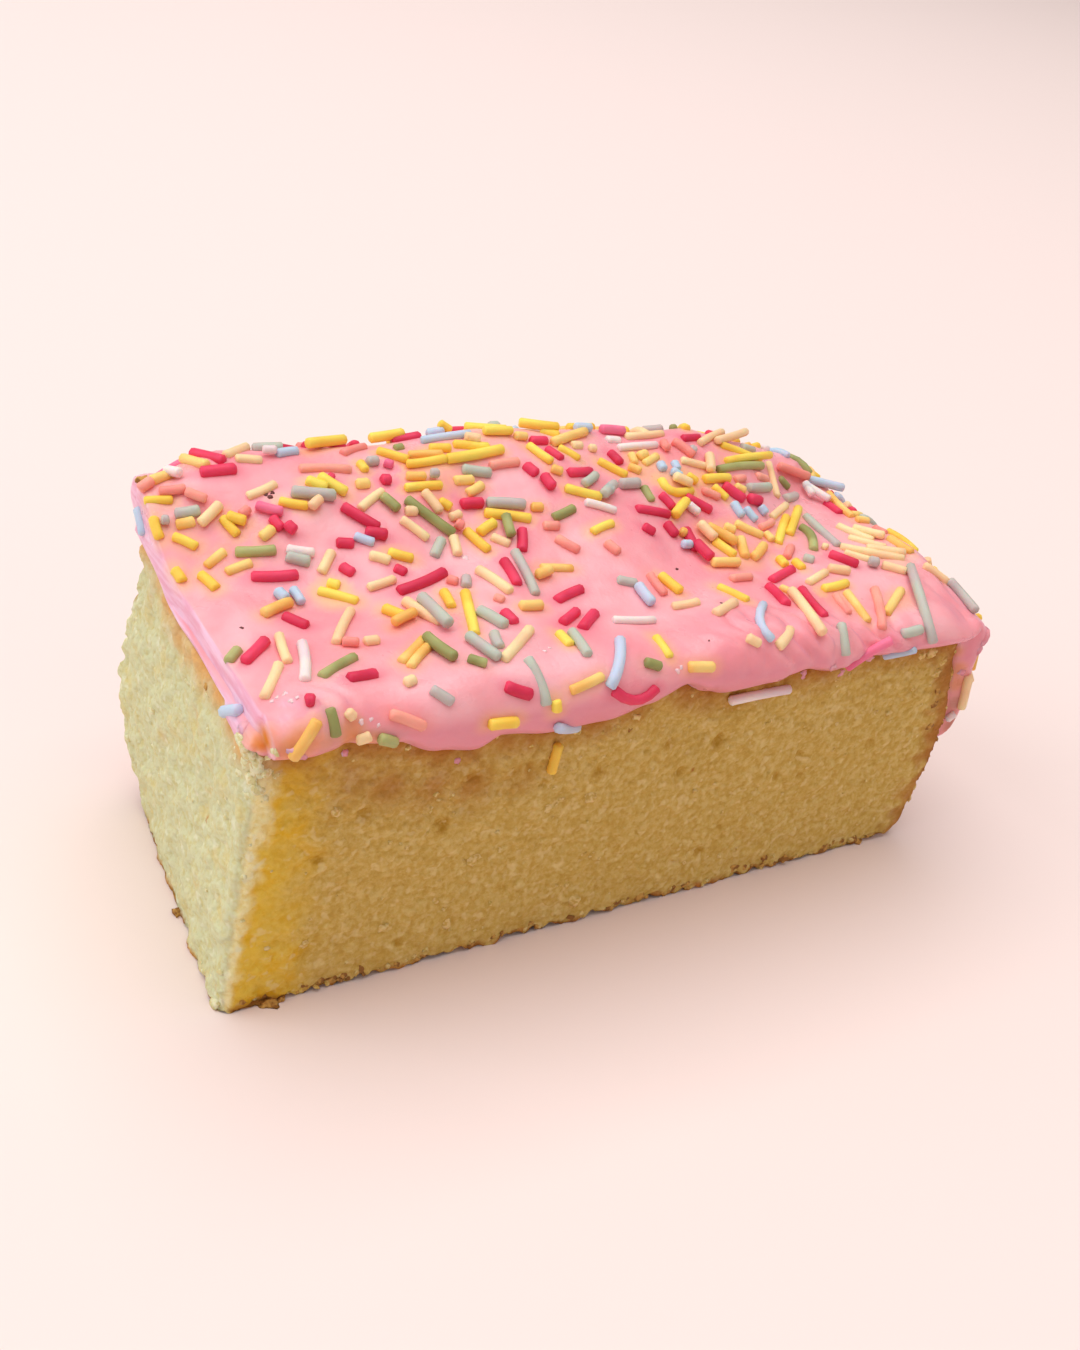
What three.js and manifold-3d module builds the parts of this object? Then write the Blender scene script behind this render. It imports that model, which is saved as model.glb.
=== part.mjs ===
// School cake slice: a block of yellow sponge from the corner of a tray bake, under a thick coat
// of pink icing that has run over its edges, with sugar strands stuck all over the icing.
//
// Millimetres, +Z up. The origin is on the base, under the middle of the slice. +X runs along the
// long cut face to the end that lay against the tin, and +Y runs from the long cut face to the
// side that lay against the tin. The short cut face looks along -X.

import * as THREE from 'three';
import { mergeVertices } from 'three/addons/utils/BufferGeometryUtils.js';
import Module from 'manifold-3d';

const wasm = await Module();
wasm.setup();

const { clamp, lerp, smoothstep } = THREE.MathUtils;

// Sponge block, at its widest.
const CUT_LEFT = -52.5;
const CUT_FRONT = -23;
const TIN_RIGHT = 57;
const TIN_BACK = 24.2;
const HEIGHT = 40; // of the sponge at its left cut

// The tin sides belly out at this height, and draw in above and below it.
const BELLY_HEIGHT = 18;
const RIGHT_IN = { above: 4, below: 2 };
const BACK_IN = { above: 6, below: 5 };
const FOOT_RADIUS = 6; // where the tin sides turn under to the base
const CUT_LEAN = 0.3; // how far the left cut leans out at the foot
const CUT_SKEW = 0.08; // and how much more it does so towards the front
const CUT_BELLY = 1.3; // how far it swells out half way up, at the back

// The top of the sponge falls towards the right end, and rises to a rim along the back.
const END_FALL = 2.4;
const FALL_START = -5;
const BACK_RISE = { left: 4.6, middle: 6, right: 3 };
const RISE_START = { middle: -16, end: 5 }; // across the slice

const EDGE_RADIUS = 1.2; // of the sponge's top edges
const TIN_CORNER = 12; // extra radius in plan of the corner between the two tin sides
const CUT_CORNER = 0.8; // the same at the other corners, which are cut

// Crumb: dents in the sponge's open faces.
const CRUMB_DENT = 0.8;

// Icing.
const COAT = 4.4; // thickness on top
const COAT_TIP = 1.9; // thickness where it ends on a side
const CUT_COAT = 3.2; // thickness at the left cut, where it was sliced through
const CUT_TIP = 0.8; // thickness where it ends on the left cut
// How far its cut edge stands out from the rim of the sponge: less near the front, and between
// two places along the cut it comes out.
const CUT_PROUD = { front: 0.6, back: 1.8, from: -2, to: 14 };
const CUT_SOFTENING = 4; // how far in from the cut the coat reaches its full thickness
const BACK_POOL = { left: 3, middle: 2.6, right: 0.6 }; // extra thickness along the back
const GAP = 0.3; // between icing and sponge

// How far the icing hangs below the sponge's top edge: [place along the edge, drop].
const FRONT_DRIPS = [
  [-52.5, 1.8], [-47, 1.9], [-43, 1], [-37, 2.3], [-31, 4.8], [-26, 5.8], [-23, 4.4],
  [-16, 5.4], [-9, 5.2], [-3, 3.9], [2.5, 1.3], [7, 3.4], [10.5, 4.2], [18, 3.4], [23, 1.6],
  [29, 2.8], [34, 1], [55.5, 1],
];
const LEFT_DRIPS = [
  [-23, 1.2], [-20, 2.2], [-17, 1.8], [-14, 0.3], [-4, 0.1], [3, 0.2], [9, 0.4], [23, 1],
];
const RIGHT_DRIPS = [
  [-23, 20.5], [-16, 19.5], [-9, 15], [-2, 12.5], [6, 8], [13, 11], [23, 7],
];
const BACK_DRIPS = [
  [-52.5, 2], [-45, 3], [-36, 6], [-28, 4], [-16, 8], [-6, 5], [6, 7.5], [18, 4.5], [30, 8],
  [42, 5], [55.5, 7],
];

// Swells and hollows in the coat, each at a place on the unfolded top.
const SWELLS = [
  { x: 67, y: -18, high: 2.9, wide: 3.2 }, // the knob where it turns down the right end
  { x: 76, y: -20, high: 1, wide: 4 },
  { x: 57, y: -8, high: 1.5, wide: 8 },
  { x: 57, y: -24, high: -2.2, wide: 5 },
  { x: 34, y: 22, high: 1.2, wide: 8 },
  { x: 53, y: 17, high: -2.4, wide: 8 },
  { x: -34, y: 24, high: 0.5, wide: 9 },
  { x: -50, y: 24, high: -2, wide: 4 },
];

// Soft waves in the coat: height, waves per millimetre along X and Y, and phase.
const WAVES = [
  { high: 0.35, x: 0.19, y: 0.11, phase: 0.6 },
  { high: 0.3, x: -0.12, y: 0.23, phase: 2.1 },
  { high: 0.2, x: 0.34, y: -0.29, phase: 4.4 },
];

// Sugar strands.
const STRAND_COUNT = 136;
const STRAND_RADIUS = 0.7;
const STRAND_SIDES = 6;
const STRAND_LONGEST = 8.6;
const STRAND_SHORTEST = 3.2;
const STRAND_LIFT = 0.25; // of the strand's axis above the icing
const STRAND_TRIES = 60; // places tried before a strand is left out
const STRAND_INSET = 1.5; // from a strand's end to the cut
const STRAND_SPACING = 0.36; // least distance between two strands, as a share of their lengths
const STRAND_REACH = 0.75; // how far down the way to the icing's lower edge strands lie
const SPARSE = 0.35; // crowding at the left front, where it's 1 along the back
const RIGHT_CROWDING = 0.8; // the same at the right end
const STRAND_SEED = 2024;

// The top of the sponge inside its rounded edges.
const RIM_LEFT = CUT_LEFT + EDGE_RADIUS;
const RIM_RIGHT = TIN_RIGHT - EDGE_RADIUS;
const RIM_FRONT = CUT_FRONT + EDGE_RADIUS;
const RIM_BACK = TIN_BACK - EDGE_RADIUS;

// The icing's outside turns over the edges on a larger radius than the sponge.
const FOLD = EDGE_RADIUS + COAT;
const FOLD_LENGTH = (FOLD * Math.PI) / 2;

// A smooth line through [place, value] pairs.
function outline(pairs, place) {
  let k = 1;
  while (k < pairs.length - 1 && place > pairs[k][0]) k++;
  const [from, to] = [pairs[k - 1], pairs[k]];
  return lerp(from[1], to[1], smoothstep(place, from[0], to[0]));
}

// What builds up towards the back, more or less of it at the ends than in the middle.
function atBack(size, x, y) {
  const bow = Math.min(x / TIN_RIGHT, 1) ** 2;
  const end = x < 0 ? size.left : size.right;
  const start = lerp(RISE_START.middle, RISE_START.end, bow);
  return lerp(size.middle, end, bow) * smoothstep(y, start, RIM_BACK);
}

// Height of the sponge's top.
function crown(x, y) {
  const fall = END_FALL * smoothstep(x, FALL_START, RIM_RIGHT);
  return HEIGHT - fall + atBack(BACK_RISE, x, y);
}

// How far a tin side has drawn in at a height.
function drawnIn(side, z) {
  if (z < BELLY_HEIGHT) return side.below * (1 - z / BELLY_HEIGHT) ** 2;
  return side.above * smoothstep(z, BELLY_HEIGHT, HEIGHT + EDGE_RADIUS);
}

// Moves a point of the straight-sided block to its place in the real slice, with its bellied tin
// sides and its slanting left cut.
function settle(x, y, z) {
  const right = Math.max(x, 0) / TIN_RIGHT;
  const back = Math.max(y, 0) / TIN_BACK;
  const left = Math.max(-x, 0) / -CUT_LEFT;
  const low = 1 - Math.min(z, HEIGHT) / HEIGHT;
  const belly = CUT_BELLY * smoothstep(y, CUT_FRONT, TIN_BACK) * Math.sin(low * Math.PI);
  const lean = low * (CUT_LEAN - CUT_SKEW * y) + belly;
  return new THREE.Vector3(
    x - right * drawnIn(RIGHT_IN, z) - left * lean,
    y - back * drawnIn(BACK_IN, z),
    z,
  );
}

// Splits a place on the unfolded top into the flat part it starts from, the way it leads over the
// edge, and how far it goes beyond the rim. Corners fan out round a rounded plan corner.
function unfold(X, Y) {
  const corner = X > 0 && Y > 0 ? TIN_CORNER : CUT_CORNER;
  const coreX = clamp(X, RIM_LEFT + corner, RIM_RIGHT - corner);
  const coreY = clamp(Y, RIM_FRONT + corner, RIM_BACK - corner);
  const way = new THREE.Vector2(X - coreX, Y - coreY);
  const reach = Math.max(Math.abs(way.x), Math.abs(way.y));
  if (reach > 0) way.normalize();
  const flat = Math.min(reach, corner);
  return { x: coreX + way.x * flat, y: coreY + way.y * flat, way, over: reach - flat };
}

// A point of the skin at a place on the unfolded top, lifted off the sponge along its normal.
function skin(X, Y, lift) {
  const { x, y, way, over } = unfold(X, Y);
  const turn = Math.min(over / FOLD, Math.PI / 2);
  const radius = EDGE_RADIUS + lift;
  const out = radius * Math.sin(turn);
  const down = Math.max(over - FOLD_LENGTH, 0);
  const z = crown(x, y) - EDGE_RADIUS + radius * Math.cos(turn) - down;
  return settle(x + way.x * out, y + way.y * out, z);
}

// Unfolded length from the rim to where a drip ends.
function hang(drips, place) {
  const drop = outline(drips, place);
  if (drop < EDGE_RADIUS) return FOLD_LENGTH * lerp(0.5, 1, drop / EDGE_RADIUS);
  return FOLD_LENGTH + drop - EDGE_RADIUS;
}

// Share of the way that a place has gone from the rim to the icing's lower edge, down the front
// or a tin side.
function hung(X, Y) {
  const along = clamp(X, CUT_LEFT, TIN_RIGHT);
  const across = clamp(Y, CUT_FRONT, TIN_BACK);
  const right = (X - RIM_RIGHT) / hang(RIGHT_DRIPS, across);
  const front = (RIM_FRONT - Y) / hang(FRONT_DRIPS, along);
  const back = (Y - RIM_BACK) / hang(BACK_DRIPS, along);
  return clamp(Math.max(right, front, back), 0, 1);
}

// Thickness that brings the coat beyond the left rim to its upright cut edge.
function cutThrough(X, Y) {
  if (X >= RIM_LEFT) return Infinity;
  const turn = Math.min((RIM_LEFT - X) / FOLD, Math.PI / 2);
  const backward = smoothstep(Y, CUT_PROUD.from, CUT_PROUD.to);
  const proud = lerp(CUT_PROUD.front, CUT_PROUD.back, backward);
  return Math.max(proud / Math.sin(turn) - EDGE_RADIUS, CUT_TIP);
}

// Thickness of the icing.
function coat(X, Y) {
  const pool = atBack(BACK_POOL, X, Y);
  let full = COAT + pool;
  for (const wave of WAVES) full += wave.high * Math.sin(wave.x * X + wave.y * Y + wave.phase);
  for (const swell of SWELLS) {
    const away = Math.hypot(X - swell.x, Y - swell.y) / swell.wide;
    full += swell.high * Math.exp(-(away ** 2));
  }
  const inward = smoothstep(X, RIM_LEFT, RIM_LEFT + CUT_SOFTENING);
  const top = Math.min(lerp(CUT_COAT + pool, full, inward), cutThrough(X, Y));
  return lerp(top, Math.min(COAT_TIP, top), hung(X, Y) ** 3);
}

const MERGE = 1e-4; // distance under which vertices are one

// A unit box of grid faces as one closed surface, each vertex placed by a function of its three
// box coordinates, 0 to 1.
function shapedBox(columns, rows, levels, place) {
  const box = new THREE.BoxGeometry(1, 1, 1, columns, rows, levels);
  box.deleteAttribute('normal');
  box.deleteAttribute('uv');
  const geometry = mergeVertices(box, MERGE);
  const points = geometry.getAttribute('position');
  for (let i = 0; i < points.count; i++) {
    const p = place(points.getX(i) + 0.5, points.getY(i) + 0.5, points.getZ(i) + 0.5);
    points.setXYZ(i, p.x, p.y, p.z);
  }
  return geometry;
}

function toSolid(geometry) {
  return new wasm.Manifold(
    new wasm.Mesh({
      numProp: 3,
      vertProperties: new Float32Array(geometry.getAttribute('position').array),
      triVerts: new Uint32Array(geometry.index.array),
    }),
  );
}

function toGeometry(solid) {
  const mesh = solid.getMesh();
  const geometry = new THREE.BufferGeometry();
  geometry.setAttribute('position', new THREE.BufferAttribute(mesh.vertProperties, 3));
  geometry.setIndex(new THREE.BufferAttribute(mesh.triVerts, 1));
  geometry.computeVertexNormals();
  return geometry;
}

// A repeatable row of random numbers from 0 to 1.
function dice(seed) {
  let state = seed;
  return () => {
    state = (Math.imul(state, 1664525) + 1013904223) >>> 0;
    return state / 2 ** 32;
  };
}

// Sponge: levels are close together where the foot and the top edge are round.
const SPONGE_COLUMNS = 25;
const SPONGE_ROWS = 11;
const FOOT_LEVELS = 3;
const SIDE_LEVELS = 7;
const EDGE_LEVELS = 2;
const SPONGE_LEVELS = FOOT_LEVELS + SIDE_LEVELS + EDGE_LEVELS;
const SPONGE_SEED = 7;

function roundedInset(radius, distance) {
  const inside = Math.max(radius - distance, 0);
  return radius - Math.sqrt(radius ** 2 - inside ** 2);
}

// Height above the base and depth below the top edge of a level in the block.
function levelHeights(level, top) {
  const fromTop = SPONGE_LEVELS - level;
  if (level <= FOOT_LEVELS) {
    return FOOT_RADIUS * (1 - Math.cos(((level / FOOT_LEVELS) * Math.PI) / 2));
  }
  if (fromTop <= EDGE_LEVELS) {
    return top - EDGE_RADIUS * (1 - Math.cos(((fromTop / EDGE_LEVELS) * Math.PI) / 2));
  }
  return lerp(FOOT_RADIUS, top - EDGE_RADIUS, (level - FOOT_LEVELS) / SIDE_LEVELS);
}

const ON_FACE = 1e-3; // how near a side of the box a place counts as on it, as a share

function makeSponge() {
  const roll = dice(SPONGE_SEED);
  return shapedBox(SPONGE_COLUMNS, SPONGE_ROWS, SPONGE_LEVELS, (u, v, w) => {
    const level = Math.round(w * SPONGE_LEVELS);
    const height = levelHeights(level, HEIGHT);
    const edge = roundedInset(EDGE_RADIUS, HEIGHT - height);
    const tin = Math.max(edge, roundedInset(FOOT_RADIUS, height));
    const atLeft = u < ON_FACE;
    const atRight = u > 1 - ON_FACE;
    const atFront = v < ON_FACE;
    const atBack = v > 1 - ON_FACE;
    const X = lerp(CUT_LEFT + edge, TIN_RIGHT - tin, u);
    const Y = lerp(CUT_FRONT + edge, TIN_BACK - tin, v);
    // The plan corners are rounded by pulling square rings round a centre.
    const corner = EDGE_RADIUS + (X > 0 && Y > 0 ? TIN_CORNER : CUT_CORNER);
    const coreX = clamp(X, CUT_LEFT + corner, TIN_RIGHT - corner);
    const coreY = clamp(Y, CUT_FRONT + corner, TIN_BACK - corner);
    const way = new THREE.Vector2(X - coreX, Y - coreY);
    const ring = Math.max(Math.abs(way.x), Math.abs(way.y));
    if (ring > 0) way.setLength(ring);
    const x = coreX + way.x;
    const y = coreY + way.y;
    const top = crown(clamp(x, RIM_LEFT, RIM_RIGHT), clamp(y, RIM_FRONT, RIM_BACK));
    const dent = CRUMB_DENT * roll() ** 2;
    const inX = (atLeft ? 1 : 0) - (atRight ? 1 : 0);
    const inY = (atFront ? 1 : 0) - (atBack ? 1 : 0);
    return settle(x + inX * dent, y + inY * dent, levelHeights(level, top));
  });
}

// Icing: one grid for its outside and one for its inside, joined round the rim.
const LEFT_COLUMNS = 4;
const TOP_COLUMNS = 25;
const RIGHT_COLUMNS = 8;
const FRONT_ROWS = 6;
const TOP_ROWS = 10;
const BACK_ROWS = 6;
const ICING_COLUMNS = LEFT_COLUMNS + TOP_COLUMNS + RIGHT_COLUMNS;
const ICING_ROWS = FRONT_ROWS + TOP_ROWS + BACK_ROWS;

function makeCoat() {
  return shapedBox(ICING_COLUMNS, ICING_ROWS, 1, (u, v, w) => {
    const column = Math.round(u * ICING_COLUMNS);
    const row = Math.round(v * ICING_ROWS);
    const flatX = lerp(RIM_LEFT, RIM_RIGHT, clamp((column - LEFT_COLUMNS) / TOP_COLUMNS, 0, 1));
    const flatY = lerp(RIM_FRONT, RIM_BACK, clamp((row - FRONT_ROWS) / TOP_ROWS, 0, 1));
    const pastLeft = Math.max(LEFT_COLUMNS - column, 0) / LEFT_COLUMNS;
    const pastRight = Math.max(column - LEFT_COLUMNS - TOP_COLUMNS, 0) / RIGHT_COLUMNS;
    const pastFront = Math.max(FRONT_ROWS - row, 0) / FRONT_ROWS;
    const pastBack = Math.max(row - FRONT_ROWS - TOP_ROWS, 0) / BACK_ROWS;
    const X = flatX - pastLeft * hang(LEFT_DRIPS, flatY) + pastRight * hang(RIGHT_DRIPS, flatY);
    const Y = flatY - pastFront * hang(FRONT_DRIPS, flatX) + pastBack * hang(BACK_DRIPS, flatX);
    return skin(X, Y, w > 0.5 ? coat(X, Y) : GAP);
  });
}

// A strand is a short stick that lies along the icing, half sunk in it.
const SLOPE_STEP = 0.5; // over which the slope of the icing is taken

function makeStrand(X, Y, heading, length) {
  const at = (dx, dy) => skin(X + dx, Y + dy, coat(X + dx, Y + dy));
  const alongX = at(SLOPE_STEP, 0).sub(at(-SLOPE_STEP, 0)).normalize();
  const alongY = at(0, SLOPE_STEP).sub(at(0, -SLOPE_STEP)).normalize();
  const up = alongX.clone().cross(alongY).normalize();
  const side = up.clone().cross(alongX);
  const axis = alongX.multiplyScalar(Math.cos(heading)).addScaledVector(side, Math.sin(heading));
  const stick = new THREE.CylinderGeometry(
    STRAND_RADIUS, STRAND_RADIUS, length, STRAND_SIDES, 1,
  );
  stick.deleteAttribute('normal');
  stick.deleteAttribute('uv');
  stick.applyQuaternion(
    new THREE.Quaternion().setFromUnitVectors(new THREE.Vector3(0, 1, 0), axis),
  );
  const middle = at(0, 0).addScaledVector(up, STRAND_LIFT);
  stick.translate(middle.x, middle.y, middle.z);
  return mergeVertices(stick, MERGE);
}

// Share of strands that stick at a place: they lie thickest at the back and the right.
function crowding(X, Y) {
  const back = smoothstep(Y, 0, RIM_BACK);
  const right = smoothstep(X, 5, RIM_RIGHT);
  return lerp(SPARSE, 1, Math.max(back, right * RIGHT_CROWDING));
}

function placeStrands() {
  const roll = dice(STRAND_SEED);
  const placed = [];
  for (let k = 0; k < STRAND_COUNT; k++) {
    const share = k / (STRAND_COUNT - 1);
    const length = lerp(STRAND_LONGEST, STRAND_SHORTEST, Math.sqrt(share));
    for (let attempt = 0; attempt < STRAND_TRIES; attempt++) {
      const X = lerp(CUT_LEFT, RIM_RIGHT + FOLD_LENGTH + 4, roll());
      const Y = lerp(RIM_FRONT - FOLD_LENGTH, RIM_BACK + FOLD_LENGTH, roll());
      const heading = Math.PI * roll();
      const wanted = roll() < crowding(X, Y);
      const half = length / 2 + STRAND_INSET;
      const clearOfCut = X - Math.abs(Math.cos(heading)) * half > CUT_LEFT;
      const clearOfEdge = hung(X, Y) < STRAND_REACH;
      const point = skin(X, Y, coat(X, Y));
      const clearOfOthers = placed.every(
        (other) => other.point.distanceTo(point) > STRAND_SPACING * (other.length + length),
      );
      if (wanted && clearOfCut && clearOfEdge && clearOfOthers) {
        placed.push({ X, Y, heading, length, point });
        break;
      }
    }
  }
  return placed;
}

function makeIcing() {
  let solid = toSolid(makeCoat());
  for (const { X, Y, heading, length } of placeStrands()) {
    solid = solid.add(toSolid(makeStrand(X, Y, heading, length)));
  }
  return toGeometry(solid);
}

function named(name, geometry, color, roughness) {
  const material = new THREE.MeshStandardMaterial({ color, roughness, metalness: 0 });
  const mesh = new THREE.Mesh(geometry, material);
  mesh.name = name;
  return mesh;
}

const slice = new THREE.Group();
slice.name = 'school_cake_slice';
slice.add(named('sponge', makeSponge(), 0xc9a660, 0.95));
slice.add(named('icing', makeIcing(), 0xf7a3ad, 0.35));

export default slice;
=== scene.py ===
import math
import random

import bmesh
import bpy
import numpy as np
from mathutils import Matrix, Vector, noise
from mathutils.bvhtree import BVHTree
from mathutils.kdtree import KDTree


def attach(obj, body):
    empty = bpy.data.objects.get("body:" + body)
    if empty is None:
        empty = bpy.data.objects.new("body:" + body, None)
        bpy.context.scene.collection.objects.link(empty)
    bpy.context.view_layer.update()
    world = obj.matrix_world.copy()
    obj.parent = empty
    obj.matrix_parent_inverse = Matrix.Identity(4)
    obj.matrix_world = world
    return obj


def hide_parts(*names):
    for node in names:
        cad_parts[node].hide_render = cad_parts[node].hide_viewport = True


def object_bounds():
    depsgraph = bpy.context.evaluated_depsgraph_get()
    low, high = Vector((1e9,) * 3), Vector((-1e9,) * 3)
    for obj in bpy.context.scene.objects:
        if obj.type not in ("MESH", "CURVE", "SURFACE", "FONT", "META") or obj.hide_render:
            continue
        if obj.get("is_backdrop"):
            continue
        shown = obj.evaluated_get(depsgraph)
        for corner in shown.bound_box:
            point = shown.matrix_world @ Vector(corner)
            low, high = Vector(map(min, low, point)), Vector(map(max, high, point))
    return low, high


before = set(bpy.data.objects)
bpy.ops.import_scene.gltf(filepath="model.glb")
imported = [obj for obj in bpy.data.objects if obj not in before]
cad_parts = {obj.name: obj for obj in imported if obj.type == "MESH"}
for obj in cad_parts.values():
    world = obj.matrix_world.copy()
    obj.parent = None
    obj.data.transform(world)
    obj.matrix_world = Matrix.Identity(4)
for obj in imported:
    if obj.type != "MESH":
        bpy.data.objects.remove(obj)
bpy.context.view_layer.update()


# ---------------------------------------------------------------------------------------------
# Camera. It looks down on the corner between the two cut faces, slightly rolled, from the place
# that was fitted to the slice's corners and edges in the photo.

PHOTO_WIDTH = 1080
PHOTO_HEIGHT = 1350
FOCAL_LENGTH = 1500  # in the photo's pixels
SENSOR = 36  # millimetres, along the photo's height
CAMERA_PLACE = Vector((-0.10412, -0.14121, 0.13604))
CAMERA_RIGHT = Vector((0.8556, -0.4893, 0.1690)).normalized()
CAMERA_BACK = CAMERA_RIGHT.cross(Vector((0.1477, 0.5437, 0.8262))).normalized()
CAMERA_UP = CAMERA_BACK.cross(CAMERA_RIGHT)


def line_of_sight(across, down):
    """Direction from the camera through a pixel of the photo."""
    right = (across - PHOTO_WIDTH / 2) / FOCAL_LENGTH
    up = (PHOTO_HEIGHT / 2 - down) / FOCAL_LENGTH
    return (CAMERA_RIGHT * right + CAMERA_UP * up - CAMERA_BACK).normalized()


camera_data = bpy.data.cameras.new("camera")
camera_data.sensor_width = SENSOR
camera_data.lens = FOCAL_LENGTH * SENSOR / PHOTO_HEIGHT
camera_data.clip_start = 0.01
camera = bpy.data.objects.new("camera", camera_data)
camera.matrix_world = Matrix.Translation(CAMERA_PLACE) @ Matrix(
    (CAMERA_RIGHT, CAMERA_UP, CAMERA_BACK)
).transposed().to_4x4()
bpy.context.scene.collection.objects.link(camera)
bpy.context.scene.camera = camera


# ---------------------------------------------------------------------------------------------
# Sponge. A block cut from the corner of a tray bake: open crumb on the long front cut and the
# short left cut, and a thin browned crust on the two tin sides and the base. Its surface is one
# sheet, rolled round the block from the middle of the base to the middle of the top.

MM = 0.001
CUT_LEFT = -52.5
CUT_FRONT = -23.0
TIN_RIGHT = 57.0
TIN_BACK = 24.2
HEIGHT = 40.0
BELLY_HEIGHT = 18.0
RIGHT_IN_ABOVE = 4.0
RIGHT_IN_BELOW = 2.0
BACK_IN_ABOVE = 6.0
BACK_IN_BELOW = 5.0
FOOT_RADIUS = 6.0
CUT_LEAN = 0.3
CUT_SKEW = 0.08
CUT_BELLY = 1.3
END_FALL = 2.4
FALL_START = -5.0
BACK_RISE = (4.6, 6.0, 3.0)  # left, middle, right
RISE_START = (-16.0, 5.0)  # middle, ends
EDGE_RADIUS = 1.2
TIN_CORNER = 12.0
CUT_CORNER = 0.8
RIM_LEFT = CUT_LEFT + EDGE_RADIUS
RIM_RIGHT = TIN_RIGHT - EDGE_RADIUS
RIM_FRONT = CUT_FRONT + EDGE_RADIUS
RIM_BACK = TIN_BACK - EDGE_RADIUS


def mix(a, b, share):
    """What lies at a share of the way from a to b."""
    return a + (b - a) * share


def ease(x, start, end):
    """0 before start, 1 after end, and a smooth rise between them."""
    share = np.clip((x - start) / (end - start), 0, 1)
    return share * share * (3 - 2 * share)


def at_back(sizes, x, y):
    """What builds up towards the back: sizes at the left end, the middle and the right end."""
    bow = np.minimum(x / TIN_RIGHT, 1) ** 2
    end = np.where(x < 0, sizes[0], sizes[2])
    start = mix(RISE_START[0], RISE_START[1], bow)
    return mix(sizes[1], end, bow) * ease(y, start, RIM_BACK)


def crown(x, y):
    """Height of the sponge's top."""
    return HEIGHT - END_FALL * ease(x, FALL_START, RIM_RIGHT) + at_back(BACK_RISE, x, y)


def drawn_in(above, below, z):
    """How far a tin side leans in at a height, from its amounts at the top and the base."""
    low = below * (1 - z / BELLY_HEIGHT) ** 2
    high = above * ease(z, BELLY_HEIGHT, HEIGHT + EDGE_RADIUS)
    return np.where(z < BELLY_HEIGHT, low, high)


def settle(x, y, z):
    """The place in the real slice of a point of the straight-sided block, in metres."""
    right = np.maximum(x, 0) / TIN_RIGHT
    back = np.maximum(y, 0) / TIN_BACK
    left = np.maximum(-x, 0) / -CUT_LEFT
    low = 1 - np.minimum(z, HEIGHT) / HEIGHT
    inward = right * drawn_in(RIGHT_IN_ABOVE, RIGHT_IN_BELOW, z)
    belly = CUT_BELLY * ease(y, CUT_FRONT, TIN_BACK) * np.sin(low * math.pi)
    outward = left * (low * (CUT_LEAN - CUT_SKEW * y) + belly)
    forward = back * drawn_in(BACK_IN_ABOVE, BACK_IN_BELOW, z)
    return np.stack([x - inward - outward, y - forward, z], 1) * MM


def rounded_inset(radius, distance):
    """How far a rounded edge stands in from its side, at a distance from the edge."""
    inside = np.maximum(radius - distance, 0)
    return radius - np.sqrt(radius**2 - inside**2)


def block_outline(u, v, height):
    """Where the block's side stands at a height: u and v go from 0 to 1 along its sides."""
    edge = rounded_inset(EDGE_RADIUS, HEIGHT - height)
    tin = np.maximum(edge, rounded_inset(FOOT_RADIUS, height))
    x = mix(CUT_LEFT + edge, TIN_RIGHT - tin, u)
    y = mix(CUT_FRONT + edge, TIN_BACK - tin, v)
    corner = EDGE_RADIUS + np.where((x > 0) & (y > 0), TIN_CORNER, CUT_CORNER)
    core_x = np.clip(x, CUT_LEFT + corner, TIN_RIGHT - corner)
    core_y = np.clip(y, CUT_FRONT + corner, TIN_BACK - corner)
    way_x = x - core_x
    way_y = y - core_y
    ring = np.maximum(np.abs(way_x), np.abs(way_y))
    scale = ring / np.maximum(np.hypot(way_x, way_y), 1e-9)
    return core_x + way_x * scale, core_y + way_y * scale


def reshape(form, name, place):
    """Moves every vertex of a form, and returns the mesh that it is kept in. What is given as
    place takes and returns their coordinates."""
    mesh = bpy.data.meshes.new(name)
    form.to_mesh(mesh)
    points = np.empty(len(mesh.vertices) * 3)
    mesh.vertices.foreach_get("co", points)
    mesh.vertices.foreach_set("co", place(points.reshape(-1, 3)).ravel())
    mesh.update()
    form.clear()
    form.from_mesh(mesh)
    return mesh


def new_piece(name, mesh, material):
    """A piece with its material, which rides on the slice's one body."""
    piece = bpy.data.objects.new(name, mesh)
    bpy.context.scene.collection.objects.link(piece)
    mesh.materials.append(material)
    mesh.shade_smooth()
    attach(piece, "root")
    return piece


# Columns of the sheet run round the block, close together on the two cuts, and its rows run up.
FRONT_COLUMNS = 300
RIGHT_COLUMNS = 60
BACK_COLUMNS = 130
LEFT_COLUMNS = 130
SIDE_STOPS = np.cumsum([0, FRONT_COLUMNS, RIGHT_COLUMNS, BACK_COLUMNS, LEFT_COLUMNS])
SPONGE_COLUMNS = int(SIDE_STOPS[-1])
BASE_ROWS = 10
FOOT_ROWS = 16
SIDE_ROWS = 88
EDGE_ROWS = 3
TOP_ROWS = 8
ROW_STOPS = np.cumsum([0, BASE_ROWS, FOOT_ROWS, SIDE_ROWS, EDGE_ROWS, TOP_ROWS])
SPONGE_ROWS = int(ROW_STOPS[-1])
BLOCK_CENTRE = ((CUT_LEFT + TIN_RIGHT) / 2, (CUT_FRONT + TIN_BACK) / 2)


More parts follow.
